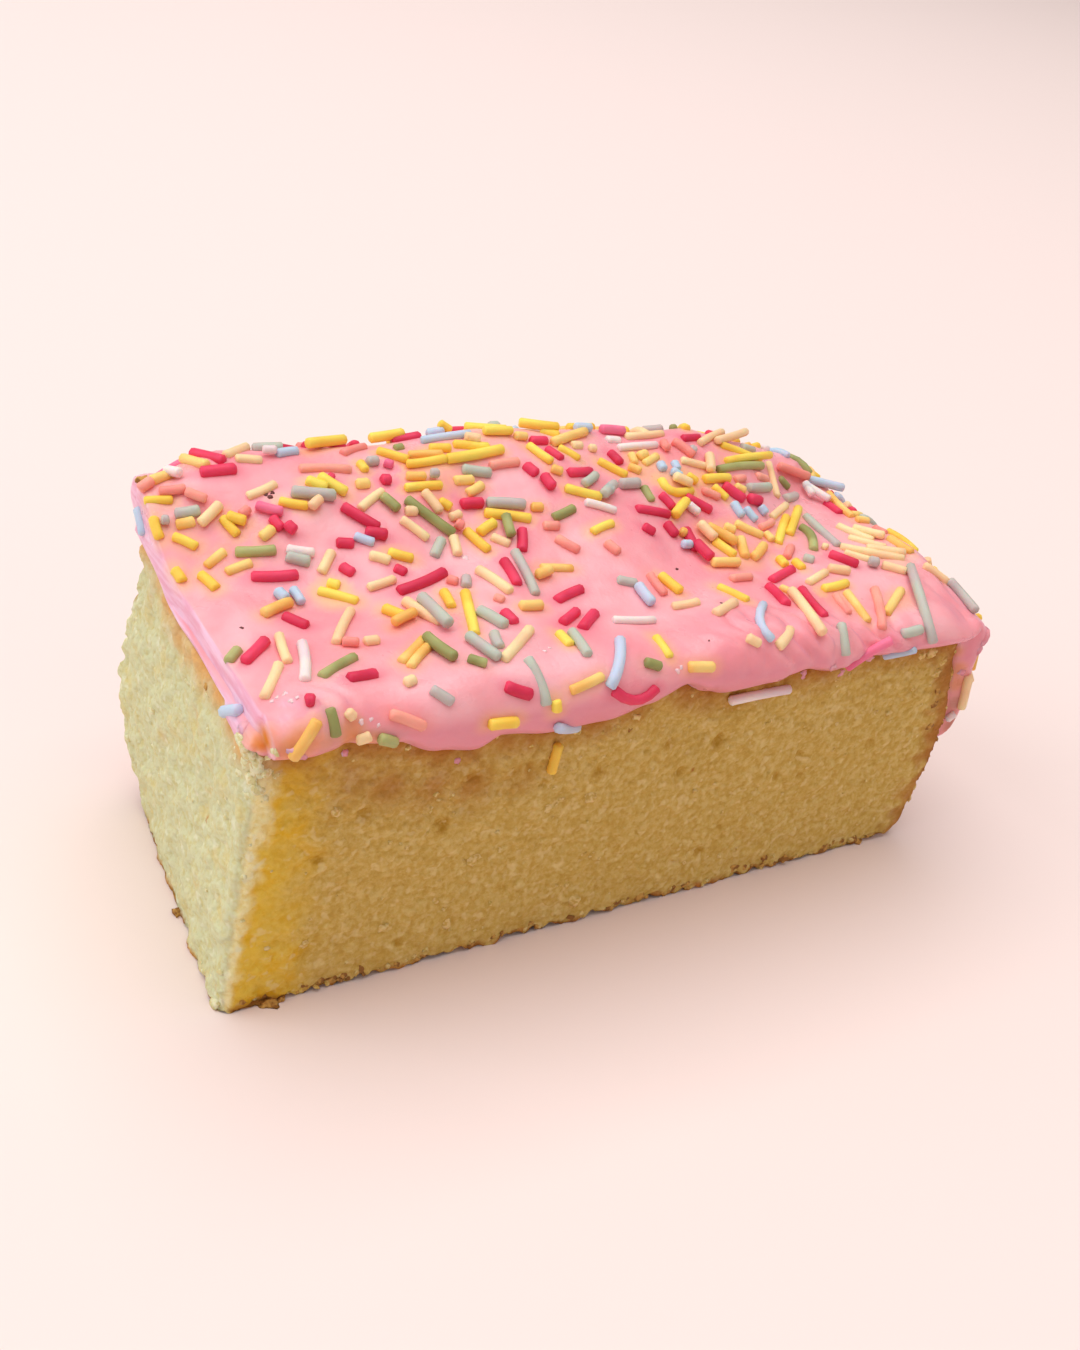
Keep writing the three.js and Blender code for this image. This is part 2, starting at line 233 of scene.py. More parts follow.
def roll_sponge(points):
    """Rolls the sheet's points, from -0.5 to 0.5 both ways, round the block."""
    column = (points[:, 0] + 0.5) * SPONGE_COLUMNS
    row = (points[:, 1] + 0.5) * SPONGE_ROWS
    u = np.interp(column, SIDE_STOPS, [0, 1, 1, 0, 0])
    v = np.interp(column, SIDE_STOPS, [0, 0, 1, 1, 0])
    across_base = np.clip(row / ROW_STOPS[1], 0, 1)
    up_foot = np.clip((row - ROW_STOPS[1]) / FOOT_ROWS, 0, 1)
    up_side = np.clip((row - ROW_STOPS[2]) / SIDE_ROWS, 0, 1)
    over_edge = np.clip((row - ROW_STOPS[3]) / EDGE_ROWS, 0, 1)
    across_top = np.clip((row - ROW_STOPS[4]) / TOP_ROWS, 0, 1)

    def height_under(top):
        foot = FOOT_RADIUS * (1 - np.cos(up_foot * math.pi / 2))
        side = (top - EDGE_RADIUS - FOOT_RADIUS) * up_side
        return foot + side + EDGE_RADIUS * np.sin(over_edge * math.pi / 2)

    x, y = block_outline(u, v, height_under(HEIGHT))
    inside = np.minimum(across_base, 1 - across_top)
    x = mix(BLOCK_CENTRE[0], x, inside)
    y = mix(BLOCK_CENTRE[1], y, inside)
    top = crown(np.clip(x, RIM_LEFT, RIM_RIGHT), np.clip(y, RIM_FRONT, RIM_BACK))
    return settle(x, y, height_under(top))


sponge_form = bmesh.new()
bmesh.ops.create_grid(
    sponge_form, x_segments=SPONGE_COLUMNS, y_segments=SPONGE_ROWS, size=0.5
)
sponge_mesh = reshape(sponge_form, "sponge", roll_sponge)
bmesh.ops.remove_doubles(sponge_form, verts=sponge_form.verts, dist=1e-7)
bmesh.ops.recalc_face_normals(sponge_form, faces=sponge_form.faces)
sponge_form.normal_update()

# Crumb: small uneven grains with cracks between them, a few open pits and torn hollows, deeper
# on the cuts than on the crust, and a broken edge where the cuts meet the base.
GRAIN = 1.7 * MM
FINE_GRAIN = 0.95 * MM
PIT = 3.6 * MM
UNEVEN = 2.6 * MM
SWELL_SIZE = 9 * MM
GRAIN_DEPTH = 0.17 * MM
FINE_DEPTH = 0.14 * MM
PIT_DEPTH = 0.45 * MM
UNEVEN_DEPTH = 0.34 * MM
SWELL_DEPTH = 0.5 * MM
CRUST_WRINKLE = 2.6 * MM
CRUST_RELIEF = 0.22 * MM
CRUST_THICKNESS = 1.2
CRUST_PATCH = 1.8 * MM
CRUST_THIN = (0.28, 1.5, 1.6)  # how soon it ends inside a cut: at the right, the back, the base
CHIP_SIZE = 1.5 * MM
CHIP_RISE = 1.3 * MM
CHIP_REACH = 2.2 * MM
SUNK = 0.1 * MM  # how far the whole crumb lies inside the block's outline
PALE_STRIP = (-1.7, 0.05)  # how far the left cut's pale crumb turns the corner: base, per mm up
PALE_FADE = 4.2
TORN_SIZE = 2.4 * MM  # of the bites out of the upright edge between the left cut and the crust
TORN_DEPTH = 1.5 * MM
TORN_REACH = 3.5
TORN_WAY = Vector((-0.7, 1, 0))
HALF_PALE = 0.45  # of the crumb round the corner from the left cut
GRAIN_SEED = 7

# Hollows torn in the front cut: place along it, height, radius and depth, in millimetres.
HOLLOW_RAGGED = 0.7  # of their outlines, in radii
HOLLOW_SHARE = 0.75
HOLLOWS = [
    (-27.5, 22.5, 1.0, 0.7), (-24.5, 29.0, 1.0, 0.6), (-43.5, 21.5, 0.9, 0.6),
    (-38.5, 27.0, 0.8, 0.5), (-6.0, 26.0, 0.8, 0.6), (13.0, 26.5, 0.9, 0.7),
    (14.0, 32.0, 1.8, 0.3), (-44.5, 7.5, 1.0, 0.5), (30.0, 17.0, 0.9, 0.4),
    (-48.5, 0.0, 1.6, 1.2),
]

noise.seed_set(GRAIN_SEED)  # without one, noise_vector differs from one run to the next


def clamped(value):
    """The value, brought within 0 and 1."""
    return min(max(value, 0), 1)


def grains(point, size):
    """0 in the cracks between grains about size across, and 1 on their tops."""
    warped = point + noise.noise_vector(point / size) * size * 0.35
    nearest, next_one = noise.voronoi(warped / size)[0][:2]
    return clamped(2.2 * (next_one - nearest))


def pits(point):
    """1 at the bottom of a few scattered pits, and 0 round them."""
    nearest = noise.voronoi(point / PIT)[0][0]
    here = clamped(4 * noise.noise(point / (3 * PIT)) - 0.4)
    return here * clamped(1 - 3.2 * nearest)


def crumb_relief(place):
    """How far a point of a cut stands out, apart from its long swells."""
    coarse = GRAIN_DEPTH * (grains(place, GRAIN) - 0.5)
    fine = FINE_DEPTH * (grains(place, FINE_GRAIN) - 0.5)
    return coarse + fine - PIT_DEPTH * pits(place)


def to_tin(x, y, z):
    """How far a place lies inside the two tin sides: the right one and the back one."""
    to_right = TIN_RIGHT - drawn_in(RIGHT_IN_ABOVE, RIGHT_IN_BELOW, z) - x
    to_back = TIN_BACK - drawn_in(BACK_IN_ABOVE, BACK_IN_BELOW, z) - y
    return to_right, to_back


def crust_share(place):
    """1 on a tin side and on the base, falling to 0 inside a cut, soonest beside the back."""
    x, y, z = place / MM
    to_right, to_back = to_tin(x, y, z)
    patches = noise.noise(place / CRUST_PATCH)
    nearest = min(
        to_right * CRUST_THIN[0], to_back * CRUST_THIN[1], z * CRUST_THIN[2] + max(-6 * patches, 0)
    )
    return 1 - clamped((nearest - 0.2) / (CRUST_THICKNESS * (1 + 1.2 * patches)))


def left_share(place):
    """1 on the left cut and a ragged strip past its corner, and 0 on the rest."""
    x, y, z = place / MM
    inside = x - (CUT_LEFT - (1 - z / HEIGHT) * (CUT_LEAN - CUT_SKEW * y))
    strip = PALE_STRIP[0] + PALE_STRIP[1] * z + 1.2 * noise.noise(place / (1.6 * MM))
    return 1 - clamped((inside - strip) / PALE_FADE)


depth_layer = sponge_form.verts.layers.float.new("depth")
crust_layer = sponge_form.verts.layers.float.new("crust")
left_and_lit_layer = sponge_form.verts.layers.float.new("left_cut_and_lit_side")
moves = []
for vert in sponge_form.verts:
    place = vert.co.copy()
    cut = clamped((max(-vert.normal.x, -vert.normal.y) - 0.3) * 2)
    crumb = crumb_relief(place)
    if vert.normal.y < -0.8:
        for along, high, radius, deep in HOLLOWS:
            away = math.hypot(place.x / MM - along, place.z / MM - high) / radius
            away = max(away + HOLLOW_RAGGED * noise.noise(place / MM), 0)
            crumb -= HOLLOW_SHARE * deep * MM * math.exp(-(away**2))
    swell = SWELL_DEPTH * (noise.noise(place / SWELL_SIZE) - 0.2)
    swell += UNEVEN_DEPTH * (1 + clamped(-vert.normal.x)) * noise.noise(place / UNEVEN)
    crust = CRUST_RELIEF * (noise.noise(place / CRUST_WRINKLE) - 0.3)
    _, to_back = to_tin(place.x / MM, place.y / MM, place.z / MM)
    to_left = place.x / MM - CUT_LEFT + 1
    torn = clamped(1 - to_back / TORN_REACH) * clamped(1 - to_left / TORN_REACH)
    torn *= TORN_DEPTH * clamped(2 * noise.noise(place / TORN_SIZE) + 0.2)
    moves.append(vert.normal * mix(crust, crumb + swell - SUNK, cut) - TORN_WAY * torn)
    vert[depth_layer] = crumb * cut / MM
    below = clamped(3 - 4 * vert.normal.z)
    beside = left_share(place)
    # Beside the left cut the crust is torn, and crumb shows through it.
    torn_open = clamped(1.7 * beside) * clamped(place.z / MM / 2 - 0.5)
    torn_open *= clamped(0.75 + 1.2 * noise.noise(place / UNEVEN))
    vert[crust_layer] = max(crust_share(place), (1 - cut) * below) * (1 - torn_open)
    # Crumb that faces left, towards the light, takes the left cut's pale colour: painted light.
    vert[left_and_lit_layer] = max(min(beside, HALF_PALE), clamped(-1.25 * vert.normal.x))
for vert, move in zip(sponge_form.verts, moves):
    from_cut = max(min(vert.co.x / MM - CUT_LEFT + 3, vert.co.y / MM - CUT_FRONT), 0) * MM
    near_edge = clamped(1 - vert.co.z / CHIP_REACH) * clamped(1 - from_cut / CHIP_REACH)
    chip = max(noise.noise(vert.co / CHIP_SIZE) + 0.2, 0) * CHIP_RISE
    vert.co += move
    vert.co.z = max(vert.co.z + chip * near_edge, 0)
bmesh.ops.triangulate(sponge_form, faces=sponge_form.faces, quad_method="SHORT_EDGE")
sponge_tree = BVHTree.FromBMesh(sponge_form)
sponge_form.to_mesh(sponge_mesh)
sponge_form.free()


def new_material(name, roughness, specular=0.5, scattered=0, depth=0.05, spread=(1, 0.2, 0.1)):
    """A material, with its shader's inputs and its node tree. A share of the light is scattered
    inside it, to a depth in metres and with a spread for each of red, green and blue."""
    material = bpy.data.materials.new(name)
    material.use_nodes = True
    shader = material.node_tree.nodes["Principled BSDF"].inputs
    shader["Roughness"].default_value = roughness
    shader["Specular IOR Level"].default_value = specular
    shader["Subsurface Weight"].default_value = scattered
    shader["Subsurface Scale"].default_value = depth
    shader["Subsurface Radius"].default_value = spread
    return material, shader, material.node_tree


def colour(red, green, blue):
    """A colour as a screen shows it, 0 to 255, for a socket."""
    shown = [red / 255, green / 255, blue / 255]
    return [c / 12.92 if c < 0.04045 else ((c + 0.055) / 1.055) ** 2.4 for c in shown] + [1]


def feed(tree, given, socket):
    """Links a node's output to a socket, or sets a plain value on it."""
    if isinstance(given, bpy.types.NodeSocket):
        tree.links.new(given, socket)
    else:
        socket.default_value = given


def add_node(tree, kind, inputs, **settings):
    """Adds a node with its inputs and settings, and returns its outputs."""
    node = tree.nodes.new("ShaderNode" + kind)
    for name, setting in settings.items():
        setattr(node, name, setting)
    for key, given in inputs.items():
        feed(tree, given, node.inputs[key])
    return node.outputs


def own_place(tree):
    """Where a point lies on the piece itself."""
    return add_node(tree, "TexCoord", {})["Object"]


def attribute_node(tree, name):
    return add_node(tree, "Attribute", {}, attribute_name=name)


def ramp_node(tree, factor, *stops):
    """A colour ramp on a factor, from (place, colour) stops."""
    shade = add_node(tree, "ValToRGB", {"Fac": factor})["Color"]
    elements = shade.node.color_ramp.elements
    while len(elements) < len(stops):
        elements.new(0.5)
    for element, (place, stop_colour) in zip(elements, stops):
        element.position = place
        element.color = stop_colour
    return shade


def range_node(tree, value, low, high, to_low=0.0, to_high=1.0):
    """A value brought from low..high to to_low..to_high, smoothly and clamped."""
    ends = {"From Min": low, "From Max": high, "To Min": to_low, "To Max": to_high}
    return add_node(tree, "MapRange", {"Value": value, **ends}, interpolation_type="SMOOTHSTEP")[0]


def mix_node(tree, factor, first, second):
    """Two colours mixed. A colour or a factor may be a socket or plain numbers."""
    return add_node(tree, "Mix", {0: factor, 6: first, 7: second}, data_type="RGBA")[2]


def noise_node(tree, where, size, detail=3.0, roughness=0.55):
    """Noise whose lumps are about size metres across."""
    inputs = {"Vector": where, "Scale": 1 / size, "Detail": detail, "Roughness": roughness}
    return add_node(tree, "TexNoise", inputs)["Fac"]


def cells_node(tree, where, size):
    """Distance from the middles of cells about size metres across."""
    return add_node(tree, "TexVoronoi", {"Vector": where, "Scale": 1 / size})["Distance"]


def sum_node(tree, first, first_share, second, second_share):
    """Two values added, each in its share."""
    scaled = add_node(tree, "Math", {0: first, 1: first_share}, operation="MULTIPLY")[0]
    added = {0: second, 1: second_share, 2: scaled}
    return add_node(tree, "Math", added, operation="MULTIPLY_ADD")[0]


def bump_node(tree, height, distance, strength=1.0):
    """Relief of a height, in metres."""
    inputs = {"Height": height, "Distance": distance, "Strength": strength}
    return add_node(tree, "Bump", inputs)["Normal"]


CRUMB_PIT_SHADE = colour(184, 138, 44)
CRUMB_MIDDLE = colour(207, 171, 88)
CRUMB_HIGH = colour(222, 194, 122)
CRUMB_SPECK = colour(236, 212, 152)
# Painted glow of light through the crumb beside the corner of the front cut:
CORNER_GLOW = colour(236, 198, 70)
CORNER_GLOW_DEEP = colour(232, 180, 24)
CORNER_LIT_PALE = colour(246, 234, 176)
CORNER_LIT_PIT_SHADE = colour(232, 208, 122)
LEFT_PIT_SHADE = colour(206, 192, 120)
LEFT_CRUMB = colour(214, 214, 171)
LEFT_SPECK = colour(236, 236, 208)
LEFT_WARM = colour(222, 200, 128)
SOAKED_AND_SHADED = colour(166, 92, 22)
SOAKED_LEFT = colour(226, 164, 92)
CRUST_PALE = colour(206, 148, 72)
CRUST_BROWN = colour(178, 112, 46)
CRUST_DARK = colour(146, 86, 34)
# Reach of the painted glow beside the corner.
CORNER_GLOW_REACH = (6, 16)  # from the left cut: where the gold of the front cut fades, and ends

sponge_material, shader, tree = new_material(
    "sponge_crumb", 0.9, specular=0.25, scattered=0.15, depth=0.0015, spread=(1, 0.6, 0.25)
)
where = own_place(tree)
along = add_node(tree, "SeparateXYZ", {"Vector": where})["X"]
mottle = noise_node(tree, where, 4 * MM)
rough = noise_node(tree, where, 0.9 * MM, 4.0, 0.65)
flecks = noise_node(tree, where, 1.3 * MM, 1.0)
# Painted shade: cracks and pits are a deeper yellow than the grains. Scattered grains are pale.
height = range_node(tree, attribute_node(tree, "depth")["Fac"], -0.40, 0.16)
grainy = range_node(tree, rough, 0.36, 0.66)
raised = sum_node(tree, height, 0.62, grainy, 0.38)
specks = range_node(tree, flecks, 0.58, 0.74, 0.0, 0.5)
front_crumb = ramp_node(tree, raised, (0.0, CRUMB_PIT_SHADE), (0.55, CRUMB_MIDDLE), (1.0, CRUMB_HIGH))
# Beside the corner the front cut is a painted golden yellow glow, of light shining through it.
ragged = {0: mottle, 1: 9 * MM, 2: along}
ragged = add_node(tree, "Math", ragged, operation="MULTIPLY_ADD")[0]
corner = range_node(tree, ragged, *[(CUT_LEFT + away) * MM for away in CORNER_GLOW_REACH], 0.9, 0)
golden = sum_node(tree, mottle, 0.7, raised, 0.3)
golden = ramp_node(tree, golden, (0.36, CORNER_GLOW_DEEP), (0.62, CORNER_GLOW))
front_crumb = mix_node(tree, corner, front_crumb, golden)
front_crumb = mix_node(tree, specks, front_crumb, CRUMB_SPECK)
# The left cut is paler, with warm patches, and so is the corner past it.
# Its paleness is partly drier crumb and partly painted light from the left.
left_crumb = ramp_node(tree, raised, (0.1, LEFT_PIT_SHADE), (0.7, LEFT_CRUMB))
left_crumb = mix_node(tree, specks, left_crumb, LEFT_SPECK)
left_crumb = mix_node(tree, range_node(tree, mottle, 0.5, 0.68, 0.0, 0.45), left_crumb, LEFT_WARM)
# The corner past the left cut is painted pale, as light caught on its rounded edge.
lit_corner_crumb = ramp_node(tree, raised, (0.2, CORNER_LIT_PIT_SHADE), (0.75, CORNER_LIT_PALE))
lit_corner_crumb = mix_node(tree, specks, lit_corner_crumb, LEFT_SPECK)
on_left = attribute_node(tree, "left_cut_and_lit_side")["Fac"]
turning = range_node(tree, on_left, 0.0, 0.5)
turned = range_node(tree, on_left, 0.5, 1.0)
crumb_colour = mix_node(tree, turning, front_crumb, lit_corner_crumb)
crumb_colour = mix_node(tree, turned, crumb_colour, left_crumb)
# Under the icing the crumb is soaked and browner, and darker as painted shade under the lip.
patchy = range_node(tree, mottle, 0.35, 0.6, 0.6, 1.0)
wet_and_shaded = {0: attribute_node(tree, "soaked_and_shaded")["Fac"], 1: patchy}
wet_and_shaded = add_node(tree, "Math", wet_and_shaded, operation="MULTIPLY")[0]
soaked_and_shaded_crumb = mix_node(tree, turned, SOAKED_AND_SHADED, SOAKED_LEFT)
crumb_colour = mix_node(tree, wet_and_shaded, crumb_colour, soaked_and_shaded_crumb)
# Browned crust: a thin layer on the base and the tin sides, in soft patches with dark pores.
baked = noise_node(tree, where, 11 * MM, 4.0, 0.6)
browned = sum_node(tree, baked, 0.75, rough, 0.25)
crust_colour = ramp_node(tree, browned, (0.34, CRUST_DARK), (0.5, CRUST_BROWN), (0.64, CRUST_PALE))
pores = range_node(tree, flecks, 0.34, 0.24, 0.0, 0.55)
crust_colour = mix_node(tree, pores, crust_colour, CRUST_DARK)
on_crust = attribute_node(tree, "crust")["Fac"]
feed(tree, mix_node(tree, on_crust, crumb_colour, crust_colour), shader["Base Color"])
# Fine relief: rounded grains of two sizes, roughened.
relief = sum_node(tree, cells_node(tree, where, 0.75 * MM), -0.26, rough, 0.34)
relief = sum_node(tree, relief, 1.0, cells_node(tree, where, 1.5 * MM), -0.22)
feed(tree, bump_node(tree, relief, 1.0 * MM, 0.75), shader["Normal"])

sponge = new_piece("sponge_block", sponge_mesh, sponge_material)
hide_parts("sponge")


# ---------------------------------------------------------------------------------------------
# Icing. Thick pink sugar icing, poured over the tray bake and run down over its edges in a fat
# rounded lip. It is one sheet of even squares, laid over the sponge as a cloth is and folded
# down at the edges, then given its thickness.

COAT = 4.4
COAT_TIP = 1.9
CUT_COAT = 3.2
CUT_TIP = 0.8
CUT_PROUD = (0.6, 1.8)  # at the front and the back of the left cut
PROUD_START = (-2, 14)
CUT_SOFTENING = 4.0
BACK_POOL = (3.0, 2.6, 0.6)
UNDERSIDE = -0.25  # just within the crumb, which the icing has stuck to
FOLD = EDGE_RADIUS + COAT
FOLD_LENGTH = FOLD * math.pi / 2
LIP = 2.4  # how far from its end the lip starts to round off
CUT_LIP = 1.2  # the same, on the left cut
FRONT_DRIPS = [
    (-52.5, 1.8), (-47, 1.9), (-43, 1), (-37, 2.3), (-31, 4.8), (-26, 5.8), (-23, 4.4),
    (-16, 5.4), (-9, 5.2), (-3, 3.9), (2.5, 1.3), (7, 3.4), (10.5, 4.2), (18, 3.4), (23, 1.6),
    (29, 2.8), (34, 1), (55.5, 1),
]
LEFT_DRIPS = [
    (-23, 1.2), (-20, 2.2), (-17, 1.8), (-14, 0.3), (-4, 0.1), (3, 0.2), (9, 0.4), (23, 1),
]
RIGHT_DRIPS = [
    (-23, 20.5), (-16, 19.5), (-9, 15), (-2, 12.5), (6, 8), (13, 11), (23, 7),
]
BACK_DRIPS = [
    (-52.5, 2), (-45, 3), (-36, 6), (-28, 4), (-16, 8), (-6, 5), (6, 7.5), (18, 4.5), (30, 8),
    (42, 5), (55.5, 7),
]
# Swells and hollows: place on the unfolded top, height and width.
SWELLS = [
    (67, -18, 2.9, 3.2), (76, -20, 1, 4), (57, -8, 1.5, 8), (57, -24, -2.2, 5),
    (34, 22, 1.2, 8), (53, 17, -2.4, 8), (-34, 24, 0.5, 9), (-50, 24, -2, 4),
]
# Long waves: height, waves along X and Y, phase.
WAVES = [(0.35, 0.19, 0.11, 0.6), (0.3, -0.12, 0.23, 2.1), (0.2, 0.34, -0.29, 4.4)]


def unfold(X, Y):
    """The flat place, the way over the edge, and how far beyond the rim a place lies."""
    corner = np.where((X > 0) & (Y > 0), TIN_CORNER, CUT_CORNER)
    core_x = np.clip(X, RIM_LEFT + corner, RIM_RIGHT - corner)
    core_y = np.clip(Y, RIM_FRONT + corner, RIM_BACK - corner)
    way_x = X - core_x
    way_y = Y - core_y
    reach = np.maximum(np.abs(way_x), np.abs(way_y))
    length = np.maximum(np.hypot(way_x, way_y), 1e-9)
    way_x = way_x / length
    way_y = way_y / length
    flat = np.minimum(reach, corner)
    return core_x + way_x * flat, core_y + way_y * flat, way_x, way_y, reach - flat


def skin(X, Y, lift):
    """A point of the coat at a place on the unfolded top, lifted off the sponge."""
    x, y, way_x, way_y, over = unfold(X, Y)
    turn = np.minimum(over / FOLD, math.pi / 2)
    radius = EDGE_RADIUS + lift
    out = radius * np.sin(turn)
    down = np.maximum(over - FOLD_LENGTH, 0)
    z = crown(x, y) - EDGE_RADIUS + radius * np.cos(turn) - down
    return settle(x + way_x * out, y + way_y * out, z)


def hang(drips, place):
    """Unfolded length from the rim to where a drip ends."""
    places = np.array([p for p, _ in drips])
    drops = np.array([d for _, d in drips])
    k = np.clip(np.searchsorted(places, place), 1, len(drips) - 1)
    share = ease(place, places[k - 1], places[k])
    drop = mix(drops[k - 1], drops[k], share)
    short = FOLD_LENGTH * mix(0.5, 1.0, drop / EDGE_RADIUS)
    return np.where(drop < EDGE_RADIUS, short, FOLD_LENGTH + drop - EDGE_RADIUS)


def reaches(X, Y):
    """How far the coat hangs over each edge beside a place: left, right, front and back."""
    along = np.clip(X, CUT_LEFT, TIN_RIGHT)
    across = np.clip(Y, CUT_FRONT, TIN_BACK)
    return (
        hang(LEFT_DRIPS, across), hang(RIGHT_DRIPS, across),
        hang(FRONT_DRIPS, along), hang(BACK_DRIPS, along),
    )


CUT_ROUND = 0.5  # softness of the edge between the icing's top and its cut


def cut_through(X, Y):
    """Thickness that brings the coat beyond the left rim to its upright cut edge."""
    turn = np.clip((RIM_LEFT - X) / FOLD, 1e-3, math.pi / 2)
    proud = mix(CUT_PROUD[0], CUT_PROUD[1], ease(Y, *PROUD_START))
    return np.maximum(proud / np.sin(turn) - EDGE_RADIUS, CUT_TIP)


def soft_least(a, b):
    """The lesser of two thicknesses, with a rounded change from one to the other."""
    b = np.minimum(b, a + 8)
    apart = np.clip(0.5 + (a - b) / (4 * CUT_ROUND), 0, 1)
    return mix(a, b, apart) - 2 * CUT_ROUND * apart * (1 - apart)


def coat(X, Y):
    """Thickness of the icing before its lip is rounded off."""
    pool = at_back(BACK_POOL, X, Y)
    full = COAT + pool
    for high, wave_x, wave_y, phase in WAVES:
        full = full + high * np.sin(wave_x * X + wave_y * Y + phase)
    for place_x, place_y, high, wide in SWELLS:
        away = np.hypot(X - place_x, Y - place_y) / wide
        full = full + high * np.exp(-(away**2))
    left, right, front, back = reaches(X, Y)
    side = np.clip(
        np.maximum.reduce([(X - RIM_RIGHT) / right, (RIM_FRONT - Y) / front, (Y - RIM_BACK) / back]),
        0, 1,
    )
    inward = ease(X, RIM_LEFT, RIM_LEFT + CUT_SOFTENING)
    top = soft_least(mix(CUT_COAT + pool, full, inward), cut_through(X, Y))
    return mix(top, np.minimum(COAT_TIP, top), side**3)


def to_lip(X, Y):
    """Distance along the coat to its nearest end on the tin sides and the front."""
    left, right, front, back = reaches(X, Y)
    return np.minimum.reduce(
        [right - (X - RIM_RIGHT), front - (RIM_FRONT - Y), back - (Y - RIM_BACK)]
    )


def to_cut_lip(X, Y):
    """Distance along the coat to its end on the left cut."""
    left, right, front, back = reaches(X, Y)
    return left - (RIM_LEFT - X)


# Ripples left as it set, and creases where it slid over the right of the front edge.
RIPPLES = [(0.30, 9.0), (0.16, 4.5)]  # height and size
CREASES = [
    (13, -23, 5.0, 0.34, 3.6), (21, -24, 5.5, 0.42, 4.0), (30, -25, 5.0, 0.36, 3.3),
    (38, -26, 5.5, 0.36, 3.8), (56, -14, 5.0, 0.30, 4.0), (-46, -24, 4.0, 0.25, 3.0),
]  # place, reach, height and distance between creases


def ripple(X, Y):
    """Height of the ripples and creases."""
    raised = np.zeros_like(X)
    for high, size in RIPPLES:
        raised += high * np.array([noise.noise((x / size, y / size, 0)) for x, y in zip(X, Y)])
    for place_x, place_y, reach, high, apart in CREASES:
        away_x = X - place_x
        away_y = Y - place_y
        near = np.exp(-((away_x**2 + away_y**2) / reach**2))
        wander = away_x + 0.5 * away_y + 0.8 * np.sin(away_y * 0.9 + place_x)
        raised += high * near * (2 * np.abs(np.sin(wander * math.pi / apart)) - 1.2)
    return raised


def round_off(distance, length):
    """A quarter round: 0 at the end, and 1 from a length inside it."""
    share = np.clip(distance / length, 0, 1)
    return np.sqrt(1 - (1 - share) ** 2)


def icing_top(X, Y):
    """Height of the icing's outside above the sponge."""
    thick = coat(X, Y) + ripple(X, Y)
    rounded = round_off(to_lip(X, Y), LIP) * round_off(to_cut_lip(X, Y), CUT_LIP)
    return UNDERSIDE + (thick - UNDERSIDE) * rounded


# Columns and rows of the sheet on the top and on each side that it hangs down.
LEFT_STRIPS = 16
ICING_COLUMNS_TOP = 206
RIGHT_STRIPS = 48
FRONT_STRIPS = 32
ICING_ROWS_TOP = 84
BACK_STRIPS = 28
ICING_COLUMNS = LEFT_STRIPS + ICING_COLUMNS_TOP + RIGHT_STRIPS
ICING_ROWS = FRONT_STRIPS + ICING_ROWS_TOP + BACK_STRIPS


def lay_icing(points):
    """Lays both faces of the sheet, from -0.5 to 0.5 both ways, on the sponge. The columns and
    rows in the middle of it cover the top, and the rest stretch down to the ends of the drips."""
    column = np.round((points[:, 0] + 0.5) * ICING_COLUMNS)
    row = np.round((points[:, 1] + 0.5) * ICING_ROWS)
    flat_x = mix(RIM_LEFT, RIM_RIGHT, np.clip((column - LEFT_STRIPS) / ICING_COLUMNS_TOP, 0, 1))
    flat_y = mix(RIM_FRONT, RIM_BACK, np.clip((row - FRONT_STRIPS) / ICING_ROWS_TOP, 0, 1))
    left, right, front, back = reaches(flat_x, flat_y)
    past_left = np.maximum(LEFT_STRIPS - column, 0) / LEFT_STRIPS
    past_right = np.maximum(column - LEFT_STRIPS - ICING_COLUMNS_TOP, 0) / RIGHT_STRIPS
    past_front = np.maximum(FRONT_STRIPS - row, 0) / FRONT_STRIPS
    past_back = np.maximum(row - FRONT_STRIPS - ICING_ROWS_TOP, 0) / BACK_STRIPS
    X = flat_x - past_left * left + past_right * right
    Y = flat_y - past_front * front + past_back * back
    return skin(X, Y, np.where(points[:, 2] > 0, icing_top(X, Y), UNDERSIDE))


icing_form = bmesh.new()
bmesh.ops.create_grid(icing_form, x_segments=ICING_COLUMNS, y_segments=ICING_ROWS, size=0.5)
raised = bmesh.ops.extrude_face_region(icing_form, geom=icing_form.faces[:])
outside = [item for item in raised["geom"] if isinstance(item, bmesh.types.BMVert)]
bmesh.ops.translate(icing_form, verts=outside, vec=(0, 0, 1))
icing_mesh = reshape(icing_form, "icing", lay_icing)
bmesh.ops.recalc_face_normals(icing_form, faces=icing_form.faces)
icing_form.to_mesh(icing_mesh)
icing_form.free()


def put_in_order(mesh):
    """Puts faces that an extrusion has made in an order that is the same in each run."""
    points = [vert.co.copy() for vert in mesh.vertices]
    faces = []
    for face in mesh.polygons:
        corners = list(face.vertices)
        first = corners.index(min(corners))
        faces.append(corners[first:] + corners[:first])
    mesh.clear_geometry()
    mesh.from_pydata(points, [], sorted(faces))


put_in_order(icing_mesh)
icing_tree = BVHTree.FromPolygons(
    [vert.co for vert in icing_mesh.vertices], [face.vertices for face in icing_mesh.polygons]
)

